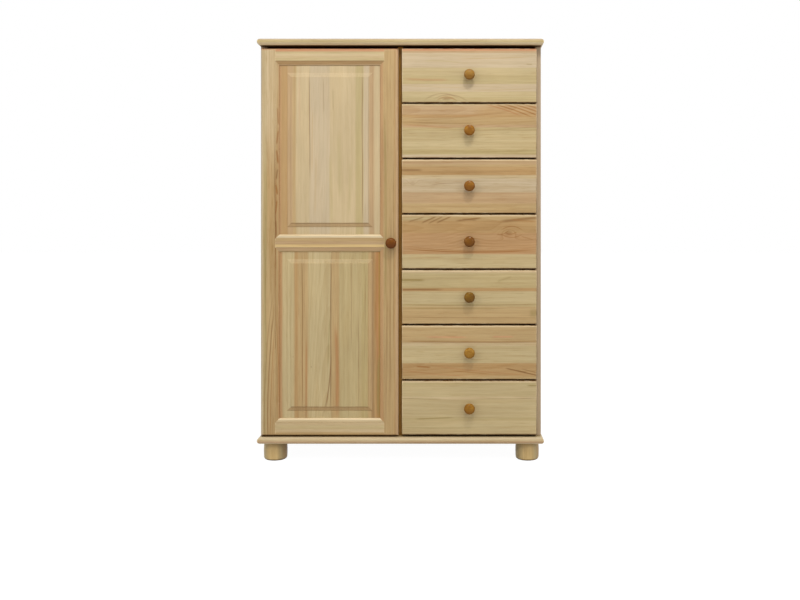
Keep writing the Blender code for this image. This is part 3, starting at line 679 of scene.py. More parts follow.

# How far in from its front and its ends a board's nose tone fades out, how softly its bands change, and
# how high the painted shade of its underside reaches
NOSE_FRONT = (0.012, 0.018)
NOSE_END = (0.010, 0.016)
NOSE_SOFT = 0.03
UNDERSIDE_SHADE_REACH = (0.0002, 0.0008)

# How softly the slope round a panel's field begins and ends, and how strongly its painted shade at the
# right, painted highlight at the top and painted shadow at the foot show
SLOPE_SOFT = 0.001
SLOPE_RIGHT = 0.45
SLOPE_TOP = 0.24
SLOPE_FOOT = 0.75

# Which object axes run along the grain, across the board and through it
ALONG_X = (0, 2, 1)
UPRIGHT = (2, 0, 1)
UPRIGHT_SIDE = (2, 1, 0)
ALONG_X_FLAT = (0, 1, 2)
ALONG_Y_SIDE = (1, 2, 0)

# Kinds of figure: how far the pith lies from the stave's middle and behind the face, how it leans
# across and in depth along the board, the gap between rings, and how strongly they show
STRAIGHT = (0.110, 0.030, 0.010, 0.010, 0.0050, 0.60)
FAINT = (0.150, 0.060, 0.004, 0.010, 0.0070, 0.35)
WIDE = (0.030, 0.055, 0.020, 0.040, 0.0065, 0.75)
FLAMED = (0.004, 0.024, 0.008, 0.060, 0.0045, 0.90)

# Ranges that fit a stave's figure into two colour ramps, each with its lowest value and width: place
# and depth of the pith, seed and ring strength, then its lean across and in depth, and the ring gap
PITH_RANGES = ((-1.0, 3.0), (0.0, 0.4), (0.0, 1.0), (0.0, 1.0))
LEAN_RANGES = ((-0.5, 1.0), (-0.5, 1.0), (0.0, 0.02), (0.0, 1.0))

# The seed of the first stave in a board and the step to the next, as shares, and how far they spread
FIRST_SEED = 0.11
NEXT_SEED = 0.37
SEED_SPREAD = 5.0


def new_material(name):
    """An empty material with a Principled shader, and its tree."""
    material = bpy.data.materials.new(name)
    material.use_nodes = True
    tree = material.node_tree
    return material, tree, tree.nodes["Principled BSDF"]


def relief(shader, height, distance):
    bump = node("Bump", {"Height": height, "Distance": distance})
    feed(shader.inputs, {"Normal": bump.outputs[0]})


def tone_stops(bands, soft):
    """Stops that hold each band's tone and change over a short stretch to the next."""
    stops = [(0.0, bands[0][1])]
    for (_, before), (share, tone) in zip(bands, bands[1:]):
        stops += [(share * PERCENT - soft, before), (share * PERCENT + soft, tone)]
    return stops


def packed(ranges, *values):
    """Values as shares of their ranges."""
    return tuple((value - low) / width for value, (low, width) in zip(values, ranges))


def unpacked(colour, ranges):
    """The three values that a colour of a ramp holds."""
    return [total(times(value, width), low) for value, (low, width) in zip(split(colour), ranges)]


def stave_figure(share, width, staves):
    """The pith, lean, ring gap, ring strength and seed of the stave at a share across the board."""
    piths = []
    leans = []
    starts = [start * PERCENT for start, _ in staves]
    for index, (start, end, (_, kind)) in enumerate(zip(starts, [*starts[1:], 1.0], staves)):
        offset, depth, lean_across, lean_depth, gap, strength = kind
        side = -1 if index % 2 else 1
        across = ((start + end) / 2 - 0.5) * width + side * offset
        seed = (NEXT_SEED * index + FIRST_SEED) % 1
        piths.append((start, packed(PITH_RANGES, across, depth, seed, strength)))
        leans.append((start, packed(LEAN_RANGES, side * lean_across, lean_depth, gap, 1.0)))
    colour, strength = ramp(share, piths, smooth=False)
    across, depth, seed = unpacked(colour, PITH_RANGES)
    lean_across, lean_depth, gap = unpacked(ramp(share, leans, smooth=False)[0], LEAN_RANGES)
    pith = joined(0.0, across, depth)
    return pith, joined(0.0, lean_across, lean_depth), gap, strength, seed


def stroked(tone, strokes, along, across, width):
    """A tone with strokes drawn over it."""
    for *shares, breadth, colour, strength in strokes:
        start, end, first, last, bow = (share * PERCENT for share in shares)
        stroke = use(
            GRAIN_STROKE, Along=along, Across=across, Start=start, Length=end - start, From=first,
            Rise=last - first, Bow=bow, Width=breadth * MM / width,
        )["Stroke"]
        tone = blend(times(stroke, strength * PERCENT), tone, colour)
    return tone


def nose_tone(parts, half, tone, rim):
    """A board's tone, with the bands of its front and end noses, partly the wood's tone and partly painted
    light and shade across the rounded nose, and the painted shade of its underside.
    """
    front = remap(parts[1], NOSE_FRONT[0] - half.y, NOSE_FRONT[1] - half.y, 1.0, 0.0)
    end = remap(maths("ABSOLUTE", parts[0]), half.x - NOSE_END[1], half.x - NOSE_END[0])
    level = total(over(parts[2], 2 * half.z), 0.5)
    nose = ramp(level, tone_stops(rim, NOSE_SOFT))[0]
    tone = blend(maths("MAXIMUM", front, end), tone, nose)
    under = remap(parts[2], UNDERSIDE_SHADE_REACH[0] - half.z, UNDERSIDE_SHADE_REACH[1] - half.z, 1.0, 0.0)
    return blend(under, tone, UNDERSIDE_SHADE)


def slope_light_and_shade(parts, half, tone):
    """A panel's tone, with painted light and shade on its slope: a painted highlight above, a painted
    shadow below and painted shade at the right.
    """
    side = less(half.x, maths("ABSOLUTE", parts[0]))
    end = less(half.z, maths("ABSOLUTE", parts[2]))
    inset = maths("MINIMUM", side, end)
    outer = remap(inset, SLOPE_START - SLOPE_SOFT, SLOPE_START + SLOPE_SOFT)
    inner = remap(inset, SLOPE_END - SLOPE_SOFT, SLOPE_END + SLOPE_SOFT, 1.0, 0.0)
    across = maths("GREATER_THAN", side, end)
    above = maths("GREATER_THAN", parts[2], 0.0)
    right = maths("GREATER_THAN", parts[0], 0.0)
    level = times(outer, inner, across)
    upright = times(outer, inner, right, less(1.0, across))
    top = times(level, above)
    tone = blend(times(upright, SLOPE_RIGHT), tone, FAWN)
    tone = blend(times(top, SLOPE_TOP), tone, PALE)
    return blend(times(less(level, top), SLOPE_FOOT), tone, DUSK)


def knotted(grain, knots, length, width, strength):
    """The shift of the rings round some knots, their dark hearts, and the strength of the rings."""
    shift = 0.0
    dark = 0.0
    for along, across, knot_length, knot_width, rings, darkness in knots:
        spot = (length * (along * PERCENT - 0.5), width * (across * PERCENT - 0.5), 0.0)
        size = (knot_length * MM, knot_width * MM, 1.0)
        swell = use(KNOT_SWELL, Grain=grain, Place=spot, Size=size)["Swell"]
        shift = total(times(swell, rings), shift)
        dark = maths("ADD", remap(swell, *KNOT_HEART, 0.0, darkness * PERCENT), dark, clamp=True)
        strength = total(times(swell, KNOT_RING_DEPTH), strength)
    return shift, dark, strength


def pine(
    item, axes, bands, seed, staves=((0, STRAIGHT),), knots=(), strokes=(), soft=0.004, ring_depth=0.55,
    streak_depth=0.30, gloss=0.42, coat=0.08, rub_and_highlight=0.35, rim=(), waver=0.010, from_top=False, trims=(),
    trim_depth=0.002, raised=False,
):
    """Dress a piece in pine, with every share across counted from its left, front or lower edge.

    Bands are (share across, tone), and staves are (share across, kind of figure). A knot is (share
    along, share across, length, width, rings, darkness of its heart). A stroke is (share along at its
    start, at its end, share across at its start, at its end, bow, width, tone, strength). A rim is
    (share of the thickness, tone), for the nose of a board; its bands by height are partly the wood's
    tone and partly painted light and shade across the rounded nose. A trim is a straight line of another
    tone, such as the painted shade of a gap and the painted highlight under a front's top edge: (true
    where it runs across the board, share, half its width, tone, strength). It goes no deeper behind the
    front face than twice the trim depth, and the lacquer is dull where it is the painted shade of a gap.
    A raised piece has painted light and shade on the slope round its field. The seed shifts the noises,
    so that no two pieces are alike.
    """
    material, tree, shader = new_material("pine_" + item.name)
    low, high = span(item)
    half = (high - low) / 2
    inputs = {"Vector": object_place(tree), "Location": -(low + high) / 2}
    centred = node("Mapping", inputs).outputs[0]
    parts = split(centred)
    grain = joined(*(parts[axis] for axis in axes))
    length = 2 * half[axes[0]]
    width = 2 * half[axes[1]]
    signed_width = -width if from_top else width
    across = total(over(parts[axes[1]], signed_width), 0.5)
    along = total(over(parts[axes[0]], length), 0.5)
    shifted = vectors("ADD", grain, tuple(seed * step for step in SEED_STEP))
    waved = total(across, times(less(noise(shifted, WAVER_GRAIN), 0.5), waver))
    tone = stroked(ramp(waved, tone_stops(bands, soft))[0], strokes, along, waved, width)
    outside_gap_shade = 1.0
    in_front = remap(parts[1], trim_depth - half.y, 2 * trim_depth - half.y, 1.0, 0.0)
    for crosswise, share, breadth, colour, strength in trims:
        place, size = (along, length) if crosswise else (across, width)
        line = bell(over(less(place, share * PERCENT), breadth * MM / size))
        line = times(line, in_front, strength * PERCENT)
        tone = blend(line, tone, colour)
        # Where a line is the painted shade of a gap, the lacquer loses its shine there too
        if colour == GAP_SHADE:
            outside_gap_shade = times(remap(line, *DULLED, 1.0, 0.0), outside_gap_shade)
    # Painted light and shade on the slope round a raised panel's field
    if raised:
        tone = slope_light_and_shade(parts, half, tone)
    if rim:
        tone = nose_tone(parts, half, tone, rim)
    pith, lean, gap, strength, own = stave_figure(across, signed_width, staves)
    shift, dark, strength = knotted(grain, knots, length, signed_width, times(strength, ring_depth))
    figure = use(
        PINE_FIGURE, Grain=grain, Pith=pith, Lean=lean, Ring_Gap=gap, Ring_Shift=shift,
        Seed=total(times(own, SEED_SPREAD), seed),
    )
    finish = use(
        LACQUERED_WOOD, Tone=tone, **{name: figure[name] for name in ("Ring", *NOISES)}, Knot=dark,
        Edge=use(RUBBED_EDGE_HIGHLIGHT, Centred=centred, Half=half)["Edge"], Ring_Depth=strength,
        Streak_Depth=streak_depth, Gloss=gloss, Rubbed=rub_and_highlight,
    )
    # Painted shade: where little open air reaches, the colour darkens towards a brown and the shine fades
    shelter = new_node(tree, "AmbientOcclusion", {"Distance": SHELTER_SHADE_REACH}, samples=SHELTER_SHADE_SAMPLES)
    open_air = shelter.outputs["AO"]
    painted_shade = remap(open_air, *SHADED_AIR, SHELTER_SHADE_DEPTH, 0.0)
    clear = times(remap(open_air, *CLEAR_AIR), outside_gap_shade)
    feed(shader.inputs, {
        "Base Color": blend(painted_shade, finish["Colour"], SHELTER_SHADE), "Roughness": finish["Roughness"],
        "Specular IOR Level": times(clear, SHEEN), "Coat Weight": times(clear, coat),
        "Coat Roughness": COAT_ROUGHNESS,
    })
    relief(shader, finish["Height"], PINE_RELIEF)
    dress(item, material)


def dress(item, material):
    if not item.material_slots:
        item.data.materials.append(material)
    for place in item.material_slots:
        place.material = material


# The stain of the knobs: grains a metre, detail and roughness of its bands, grains of its clouds, the
# share of the bands in the two, and the range of these from the plain tone to the deep one
STAIN_BANDS = ((60, 240, 420), 3.0, 0.6)
STAIN_CLOUDS = 45
BANDS_SHARE = 0.6
STAIN_RANGE = (0.38, 0.62)
STAIN_RELIEF = 0.00012

# The share of each colour of the stain that is left where it is deep
DEEP_STAIN_SHARES = (0.80, 0.72, 0.50)

# Painted shade: the stain is darker below a knob's middle, over this distance from it, by this share
LOWER_SHADE_REACH = 0.008
LOWER_SHADE_DEPTH = 0.65


def stained_wood(name, stain, middle):
    """Brown stain on turned wood, deeper in the open grain, with painted shade that darkens it below the
    middle.
    """
    material, tree, shader = new_material(name)
    tone = paint(*stain)
    deep = paint(*(value * share for value, share in zip(stain, DEEP_STAIN_SHARES)))
    place = object_place(tree)
    bands = noise(place, *STAIN_BANDS)
    mixed = total(times(bands, BANDS_SHARE), times(noise(place, STAIN_CLOUDS), 1 - BANDS_SHARE))
    colour = blend(remap(mixed, *STAIN_RANGE), tone, deep)
    # Painted shade: darker below the knob's middle
    height = split(place)[2]
    lower_shade = remap(height, middle - LOWER_SHADE_REACH, middle + LOWER_SHADE_REACH, LOWER_SHADE_DEPTH, 0.0)
    feed(shader.inputs, {
        "Base Color": blend(lower_shade, colour, deep), "Roughness": remap(bands, 0.2, 0.8, 0.24, 0.38),
        "Specular IOR Level": 0.12, "Coat Weight": 0.12, "Coat Roughness": 0.10,
    })
    relief(shader, bands, STAIN_RELIEF)
    return material


# Pressed board: grains a metre, detail and roughness of its felted fibres and of its mottle, and tones
FELT = (420, 4.0, 0.7)
FELT_RELIEF = 0.0002
MOTTLE = (16, 3.0, 0.6)
FELT_TONES = (paint(178, 146, 104), paint(160, 126, 86))
MOTTLE_TONE = paint(184, 154, 114)


def fibreboard(name):
    """Thin pressed board: fine felted fibres, a faint mottle and a dull smooth skin."""
    material, tree, shader = new_material(name)
    place = object_place(tree)
    felt = noise(place, *FELT)
    mottle = noise(place, *MOTTLE)
    colour = blend(remap(felt, 0.3, 0.7), *FELT_TONES)
    feed(shader.inputs, {
        "Base Color": blend(remap(mottle, 0.35, 0.7, 0.0, 0.5), colour, MOTTLE_TONE),
        "Roughness": remap(felt, 0.3, 0.7, 0.52, 0.7), "Specular IOR Level": 0.3,
    })
    relief(shader, felt, FELT_RELIEF)
    return material


# Nickel plate: grains a metre, detail and roughness of its brush marks and of its dull spots, and tones
BRUSH_MARKS = ((300, 300, 2500), 2.0, 0.6)
BRUSH_RELIEF = 0.00003
DULL_SPOTS = (90, 3.0, 0.6)
NICKEL_TONES = (paint(196, 194, 188), paint(168, 165, 158))


def nickel_plate(name):
    """Nickel-plated steel with faint brush marks and dull spots of handling."""
    material, tree, shader = new_material(name)
    place = object_place(tree)
    brushed = noise(place, *BRUSH_MARKS)
    dull = noise(place, *DULL_SPOTS)
    rough = total(remap(brushed, 0.3, 0.7, 0.20, 0.30), remap(dull, 0.4, 0.8, 0.0, 0.15))
    colour = blend(remap(dull, 0.4, 0.7), *NICKEL_TONES)
    feed(shader.inputs, {"Base Color": colour, "Roughness": rough, "Metallic": 1.0})
    relief(shader, brushed, BRUSH_RELIEF)
    return material


# The drawer fronts from the top one down, each from its top edge: bands, staves, knots and strokes
FRONTS = (
    (
        [(0, SALMON), (4.5, FAWN), (8, PUTTY), (36, STRAW), (50, WHEAT), (66, PUTTY), (80, STRAW),
         (90, WHEAT)],
        [(0, FAINT), (35, STRAIGHT), (66, FAINT)],
        [(33, 93, 45, 16, 3.4, 25)],
        [(15, 44, 99, 96, -14, 2.4, UMBER, 35), (22, 50, 96, 100, -12, 2.2, UMBER, 40),
         (25, 40, 98, 95, -7, 2.2, AMBER, 55), (30, 42, 95, 99, -5, 2.2, AMBER, 50),
         (0, 36, 56, 58, 1, 4, ROSE, 70), (14, 45, 24, 27, -2, 1.6, OLIVE, 60),
         (40, 98, 19, 15, 1.2, 1.4, TAN, 60), (92, 97, 29, 30, 0, 2, MOSS, 50),
         (46, 100, 78, 74, 1, 1.6, TAN, 50), (2, 50, 70, 73, 0, 1.6, TAN, 40)],
    ),
    (
        [(0, STRAW), (3, FAWN), (20, HONEY), (25, TAN), (39, FAWN), (44, WHEAT), (50, STRAW), (85, OLIVE),
         (94, PUTTY)],
        [(0, WIDE), (50, FAINT)],
        [],
        [(50, 110, 16, 16, 0, 20, HONEY, 80), (60, 90, 0, 24, -2, 2.2, RUSSET, 100),
         (67, 98, 0, 26, -2, 2.2, AMBER, 90), (74, 105, 0, 26, -2, 2.2, AMBER, 90),
         (81, 112, 0, 26, -2, 2.2, AMBER, 90), (88, 120, 0, 26, -2, 2.2, AMBER, 80),
         (0, 62, 25, 20, 2, 2.4, RUSSET, 50), (0, 40, 38, 46, 0, 3, RUSSET, 50),
         (0, 55, 34, 36, 1, 1.6, UMBER, 40), (38, 105, 89, 86, 1, 3.4, MOSS, 35)],
    ),
    (
        [(0, STRAW), (3, FAWN), (10, TAN), (14, HONEY), (29.5, SAND), (36, PUTTY), (61.7, FAWN), (82, TAN)],
        [(0, STRAIGHT), (29.5, FAINT), (61.7, STRAIGHT)],
        [(8, 45, 22, 20, 2.4, 12), (23, 48, 30, 12, 1.6, 0)],
        [(-5, 16, 20, 20, 0, 3.6, UMBER, 70), (10, 95, 23.5, 22, 1, 1.4, UMBER, 40),
         (55, 90, 34, 33, 1.2, 1.4, UMBER, 40), (20, 48, 49, 44, -2, 1.4, UMBER, 30)],
    ),
    (
        [(0, STRAW), (3, TAN), (11, HONEY), (34, ROSE), (73.5, STRAW)],
        [(0, WIDE), (73.5, FAINT)],
        [(79, 33, 36, 22, 3.4, 20), (50, 46, 60, 30, 1.8, 0)],
        [(-2, 24, 8, 7, 0, 6, STRAW, 80), (4, 17, 14, 4, 0, 2.6, UMBER, 60),
         (14, 26, 16, 3, 0, 3, UMBER, 80), (19, 31, 17, 3, 0, 2.6, UMBER, 70),
         (25, 37, 16, 3, 0, 3, UMBER, 80), (39, 60, 12, 6, 0, 3.4, UMBER, 80),
         (44, 56, 8, 11, 0, 2.6, UMBER, 50), (71, 106, 13, 4, 0, 5.2, UMBER, 80),
         (80, 100, 9, 13, 0, 3, AMBER, 50), (-5, 105, 61, 64, 7, 2.6, AMBER, 80),
         (-5, 105, 56, 60, 9, 1.6, AMBER, 50), (70, 80, 36, 28, 4, 1.6, AMBER, 70),
         (73, 90, 30, 30, -8, 1.6, AMBER, 70), (73, 90, 36, 36, 6, 1.6, AMBER, 70),
         (76, 86, 33, 31, 4, 1.6, AMBER, 70), (88, 98, 40, 47, 0, 1.6, AMBER, 60),
         (2, 30, 80, 79, 0, 1.6, TAN, 60)],
    ),
    (
        [(0, SAND), (6, WHEAT), (33.5, HONEY), (39.5, STRAW), (62.5, OLIVE), (66, STRAW), (68, TAN)],
        [(0, STRAIGHT), (39.5, FAINT), (62.5, STRAIGHT)],
        [],
        [(-4, 18, 18.5, 19, 0, 4, MOSS, 90), (-10, 32, 36.5, 36, 0, 3.6, UMBER, 80),
         (70, 82, 22, 12, 0, 4, MOSS, 40), (-5, 105, 64.5, 64.5, 0.4, 1.2, UMBER, 60),
         (-5, 80, 71, 72, 0, 2, MOSS, 60), (-5, 105, 87, 88, 1, 1.4, UMBER, 40),
         (94, 106, 80, 80, 0, 11, MOSS, 60)],
    ),
    (
        [(0, STRAW), (3, TAN), (32, SAND), (38, STRAW), (70, HONEY), (93, TAN)],
        [(0, STRAIGHT), (32, FAINT), (70, WIDE)],
        [(20.9, 67.8, 4, 3, 1, 80), (28, 58, 30, 12, 1.6, 0)],
        [(16, 50, 21.5, 22, 0, 3, SALMON, 70), (66, 84, 21, 21, 0, 3, SALMON, 70),
         (-5, 105, 30.5, 30.5, 0.4, 1.6, UMBER, 80), (10, 22, 76, 78, 0, 2.4, AMBER, 90),
         (76, 94, 79, 88, 0, 2.2, UMBER, 100), (84, 108, 83, 97, 0, 2.2, UMBER, 100),
         (88, 108, 80, 92, 0, 1.6, UMBER, 70), (36, 66, 84, 90, 0, 1.6, AMBER, 60),
         (-5, 52, 80, 94, 3, 2, RUSSET, 60), (20, 96, 74, 92, 2, 2, RUSSET, 60)],
    ),
    (
        [(0, WHEAT), (8, STRAW), (30, SAND), (35, STRAW), (68, WHEAT), (74, STRAW)],
        [(0, FAINT), (34, STRAIGHT), (70, FAINT)],
        [],
        [(92, 108, 9, 9, 0, 2.6, MOSS, 90), (-5, 32, 33, 34, 0, 1.6, MOSS, 70),
         (50, 105, 34, 33, 0, 1.6, MOSS, 50), (8, 40, 71, 68, 0, 2.4, MOSS, 80),
         (-5, 60, 86, 87, 1, 2, MOSS, 40)],
    ),
)

# How strongly the painted highlight line under each front's top edge shows, and its streaks, from the top
# front down
TOP_HIGHLIGHT_STRENGTHS = (0, 20, 100, 100, 100, 100, 100)
STREAK_DEPTHS = (0.24, 0.38, 0.42, 0.38, 0.34, 0.36, 0.26)

# Half the height of the painted gap shade above and below a front and under the lowest front, how strongly
# it shows, and where the painted highlight line lies with half its height; heights are in millimetres
GAP_ABOVE = 2.1
GAP_BELOW = 2.0
LOWEST_GAP = 3.4
GAP_STRENGTH = 95
TOP_HIGHLIGHT_LINE = (2.1, 1.9)

# The door's uprights and panels from left to right, its rails upwards, and strokes from the bottom
LEFT_STILE = [(0, CREAM), (13, WHEAT), (30, TAN), (93, ROSE)]
LEFT_STILE_STROKES = [
    (51, 56, 86, 80, 0, 2.2, UMBER, 80), (57, 61, 79, 86, 0, 2.4, AMBER, 80),
    (62, 65, 88, 80, 0, 2.4, AMBER, 90), (66, 69, 82, 89, 0, 2.2, UMBER, 80),
    (70, 74, 92, 84, 0, 3, AMBER, 100), (75, 79, 84, 92, 0, 2.8, AMBER, 100),
    (80, 85, 92, 87, 0, 2.6, AMBER, 90), (-5, 34.5, 40, 74, -15, 1.8, UMBER, 80),
    (-5, 29, 50, 75, -6, 1.4, AMBER, 70), (-2, 24, 58, 74, -2, 1.4, AMBER, 30),
    (-5, 39, 22, 70, -20, 1.4, UMBER, 50), (3, 34.5, 100, 75, 6, 1.8, AMBER, 50),
    (6, 29, 88, 74, 4, 1.4, UMBER, 40), (34, 72, 70, 78, 6, 1.8, AMBER, 60),
    (42, 80, 84, 76, -5, 1.4, UMBER, 60), (30, 90, 22, 30, 3, 3, MOSS, 50),
    (10, 55, 30, 20, 0, 2.4, MOSS, 50), (55, 102, 45, 52, 4, 3, ROSE, 30),
    (64, 160, 40, 40, 0, 30, CREAM, 70),
]
RIGHT_STILE = [(0, ROSE), (18, TAN), (76, HONEY), (84, FAWN)]
RIGHT_STILE_STROKES = [
    (30, 86, 30, 26, 3, 3.6, MOSS, 60), (5, 62, 55, 62, -3, 3, UMBER, 40), (50, 92, 36, 42, 2, 4, TAN, 60),
    (0, 40, 30, 40, 0, 3, UMBER, 35), (20, 75, 72, 70, 2, 2, UMBER, 35),
]
FOOT_BANDS = [(0, WHEAT), (20, BUTTER), (75, STRAW), (88, HONEY)]
# Painted shade and highlight: the lowest bands of the top and middle rails lie on mouldings that face down
# and are painted shade; the pale top bands of the middle and bottom rails lie on mouldings that face up and
# are painted highlight
TOP_RAIL = [(0, FAWN), (7, DUSK), (27, STRAW), (45, SAND), (66, STRAW), (80, SALMON)]
MID_RAIL = [(0, TAN), (5, FAWN), (27, BUTTER), (42, FAWN), (60, TAN), (80, CREAM), (90, PALE)]
BOTTOM_RAIL = [(0, TAN), (20, SAND), (40, STRAW), (60, SAND), (90, PALE)]
UPPER_PANEL = [
    (0, ROSE), (4, HONEY), (10, FAWN), (15, TAN), (18, SAND), (31, PUTTY), (50, SAND), (74.5, WHEAT),
    (81.8, PUTTY), (87.5, FAWN), (92, SAND),
]
UPPER_PANEL_STROKES = [
    (30, 100, 31.1, 30.9, 0, 1.4, UMBER, 80), (2, 102, 81.2, 80.8, 0, 1.6, UMBER, 70),
    (70, 92, 44, 44, 0, 1.2, UMBER, 40), (72, 86, 53, 53, 0, 1.4, UMBER, 35),
    (10, 48, 36, 37, 0, 4, HONEY, 30), (35, 75, 33, 34, 0, 3, HONEY, 40), (2, 50, 52, 50, 0, 6, OLIVE, 40),
    (20, 62, 60, 58, 0, 8, OLIVE, 40), (10, 45, 68, 70, 0, 6, OLIVE, 40), (30, 70, 76, 77, 0, 7, OLIVE, 40),
    (60, 100, 21.5, 21, 0, 3, BLUSH, 50),
]
LOWER_PANEL = [
    (0, ROSE), (5, STRAW), (16.5, HONEY), (20, TAN), (29.5, STRAW), (51.5, TAN), (59, WHEAT), (80, OLIVE),
    (86.3, TAN), (89.5, DUSK), (92.2, HONEY), (94, RUSSET), (96.2, OCHRE),
]
LOWER_PANEL_STROKES = [
    (-2, 102, 24, 23.8, 0.4, 1.6, UMBER, 80), (-2, 50, 27.5, 28, 0, 3, RUSSET, 70),
    (-2, 102, 51.2, 51.8, -0.6, 1.8, UMBER, 90), (0, 58, 56.5, 55.5, 1, 6, RUSSET, 90),
    (5, 40, 46, 51, 1, 2, UMBER, 60), (2, 33, 43, 50, 2, 2, UMBER, 50), (30, 62, 48, 50, 0, 2.4, MOSS, 60),
    (38, 100, 70, 71, 0, 1.6, UMBER, 35), (0, 70, 77, 76, 1, 1.6, UMBER, 35),
    (30, 90, 83, 84, 0, 1.6, UMBER, 35), (45, 102, 93.5, 94, 0, 4, AMBER, 50),
    (-2, 40, 95.5, 96, 0, 5, MOSS, 80),
]

# Stain of the knobs in display colours, from the lowest drawer up
KNOB_STAINS = (
    (168, 120, 36), (184, 140, 56), (136, 98, 24), (134, 86, 16), (156, 104, 28), (168, 116, 36),
    (166, 124, 54),
)
DOOR_KNOB_STAIN = (124, 70, 4)

# The corners that have a foot and a shelf pin
CORNERS = ("front_left", "front_right", "back_left", "back_right")


def make_door():
    ends = [(True, 100, 5.5, SALMON, 90), (True, 0, 5.0, BLUSH, 60)]
    edge = (False, 94, 3.0, BLUSH, 70)
    for side, bands, seed, strokes, streak_depth, trims in (
        ("left", LEFT_STILE, 1.3, LEFT_STILE_STROKES, 0.48, ends),
        ("right", RIGHT_STILE, 2.1, RIGHT_STILE_STROKES, 0.34, [edge, *ends]),
    ):
        pine(
            stile(side), UPRIGHT, bands, seed, strokes=strokes, waver=0.08, soft=0.03,
            streak_depth=streak_depth, trims=trims, trim_depth=0.005,
        )
    for where, up, two_edges, bands, seed in (
        ("top", -1, False, TOP_RAIL, 3.2),
        ("mid", 1, True, MID_RAIL, 4.4),
        ("bottom", 1, False, BOTTOM_RAIL, 5.7),
    ):
        pine(rail(where, up, two_edges), ALONG_X, bands, seed, [(0, FAINT)], waver=0.03, soft=0.02)
    pine(
        raised_panel("upper"), UPRIGHT, UPPER_PANEL, 6.1,
        [(0, STRAIGHT), (17.5, FAINT), (31, FAINT), (50, FAINT), (81.8, FAINT)],
        strokes=UPPER_PANEL_STROKES, soft=0.008, waver=0.014, ring_depth=0.28, streak_depth=0.16,
        raised=True,
    )
    pine(
        raised_panel("lower"), UPRIGHT, LOWER_PANEL, 7.9,
        [(0, FAINT), (16.5, STRAIGHT), (29.5, WIDE), (51.5, STRAIGHT), (59, STRAIGHT), (86.3, FAINT)],
        knots=[(37.2, 15.3, 4, 3, 0.8, 80), (31.4, 32.4, 5, 3, 1, 90)],
        strokes=LOWER_PANEL_STROKES, soft=0.008, waver=0.014, ring_depth=0.45, raised=True,
    )
    turned_knob = knob("door_knob", "door")
    dress(turned_knob, stained_wood("stain_door_knob", DOOR_KNOB_STAIN, knob_height("door_knob")))


def make_drawers():
    box_tone = [(0, STRAW), (50, SAND)]
    bottom = fibreboard("pressed_drawer_bottom")
    for index, (bands, staves, knots, strokes) in enumerate(FRONTS):
        number = len(FRONTS) - index
        name = f"drawer_{number}"
        front = smooth_copy(name + "_front", name, "lacquered_pine_front")
        # Painted shade in the gaps above and below this front, and a painted highlight line under its top
        # edge
        trims = [
            (False, *TOP_HIGHLIGHT_LINE, PALE, TOP_HIGHLIGHT_STRENGTHS[index]),
            (False, 0, GAP_ABOVE, GAP_SHADE, GAP_STRENGTH),
            (False, 100, LOWEST_GAP if number == 1 else GAP_BELOW, GAP_SHADE, GAP_STRENGTH),
        ]
        pine(
            front, ALONG_X, bands, 11.3 + 1.7 * index, staves, knots, strokes, soft=0.006, from_top=True,
            trims=trims, streak_depth=STREAK_DEPTHS[index],
        )
        stain = stained_wood(f"stain_knob_{number}", KNOB_STAINS[number - 1], knob_height(name + "_knob"))
        dress(knob(name + "_knob", name), stain)
        pine(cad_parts[name + "_box"], ALONG_Y_SIDE, box_tone, 30.1 + index, gloss=0.58, coat=0.0)
        dress(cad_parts[name + "_bottom"], bottom)


def make_carcass():
    wide = [(0, WHEAT), (14, STRAW), (31, TAN), (47, WHEAT), (60, STRAW), (76, HONEY), (88, WHEAT)]
    wide_kinds = (STRAIGHT, WIDE, FAINT, FLAMED, STRAIGHT, WIDE, FAINT)
    wide_staves = [(start, kind) for (start, _), kind in zip(wide, wide_kinds)]
    # The nose bands run by height, partly the wood's tone and partly painted light and shade across the
    # rounded nose, pale towards the bottom
    for name, seed, rim in (
        ("top_board", 21.7, [(0, PALE), (22, CREAM), (36, WHEAT), (55, OLIVE), (72, PUTTY)]),
        ("base_board", 22.9, [(0, PALE), (20, BLUSH), (45, SAND), (75, CREAM)]),
    ):
        board = smooth_copy(name, "carcass", "lacquered_pine_board")
        pine(board, ALONG_X_FLAT, wide, seed, wide_staves, rim=rim)
    side = [(13, STRAW), (29, WHEAT), (42, HONEY), (58, STRAW), (71, TAN), (86, WHEAT)]
    side_kinds = (STRAIGHT, FLAMED, STRAIGHT, WIDE, FAINT, STRAIGHT)
    side_staves = [(0, FAINT)] + [(start, kind) for (start, _), kind in zip(side, side_kinds)]
    # The divider's front edge takes a dark brown as painted shade of the gap beside it
    for index, (name, edge) in enumerate((
        ("left_side", EDGE_ROSE), ("right_side", EDGE_ROSE), ("divider", DIVIDER_EDGE_SHADE),
    )):
        pine(
            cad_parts[name], UPRIGHT_SIDE, [(0, edge), (0.6, TAN), *side], 24.1 + 1.9 * index,
            side_staves, soft=0.002, waver=0.004, rub_and_highlight=0.0,
        )
    pine(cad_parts["hat_shelf"], ALONG_X_FLAT, wide, 27.3, wide_staves, gloss=0.5, coat=0.0)
    dress(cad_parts["back_panel"], fibreboard("pressed_back_panel"))
    for index, name in enumerate(("hanging_rail", "rail_socket_left", "rail_socket_right")):
        rod = smooth_copy(name, "carcass", "bare_pine")
        pine(rod, ALONG_X, [(0, STRAW)], 28.2 + index, gloss=0.5, coat=0.0)
    for index, name in enumerate(CORNERS):
        pine(foot("foot_" + name), UPRIGHT, FOOT_BANDS, 40.7 + 1.3 * index, soft=0.1, ring_depth=0.3)


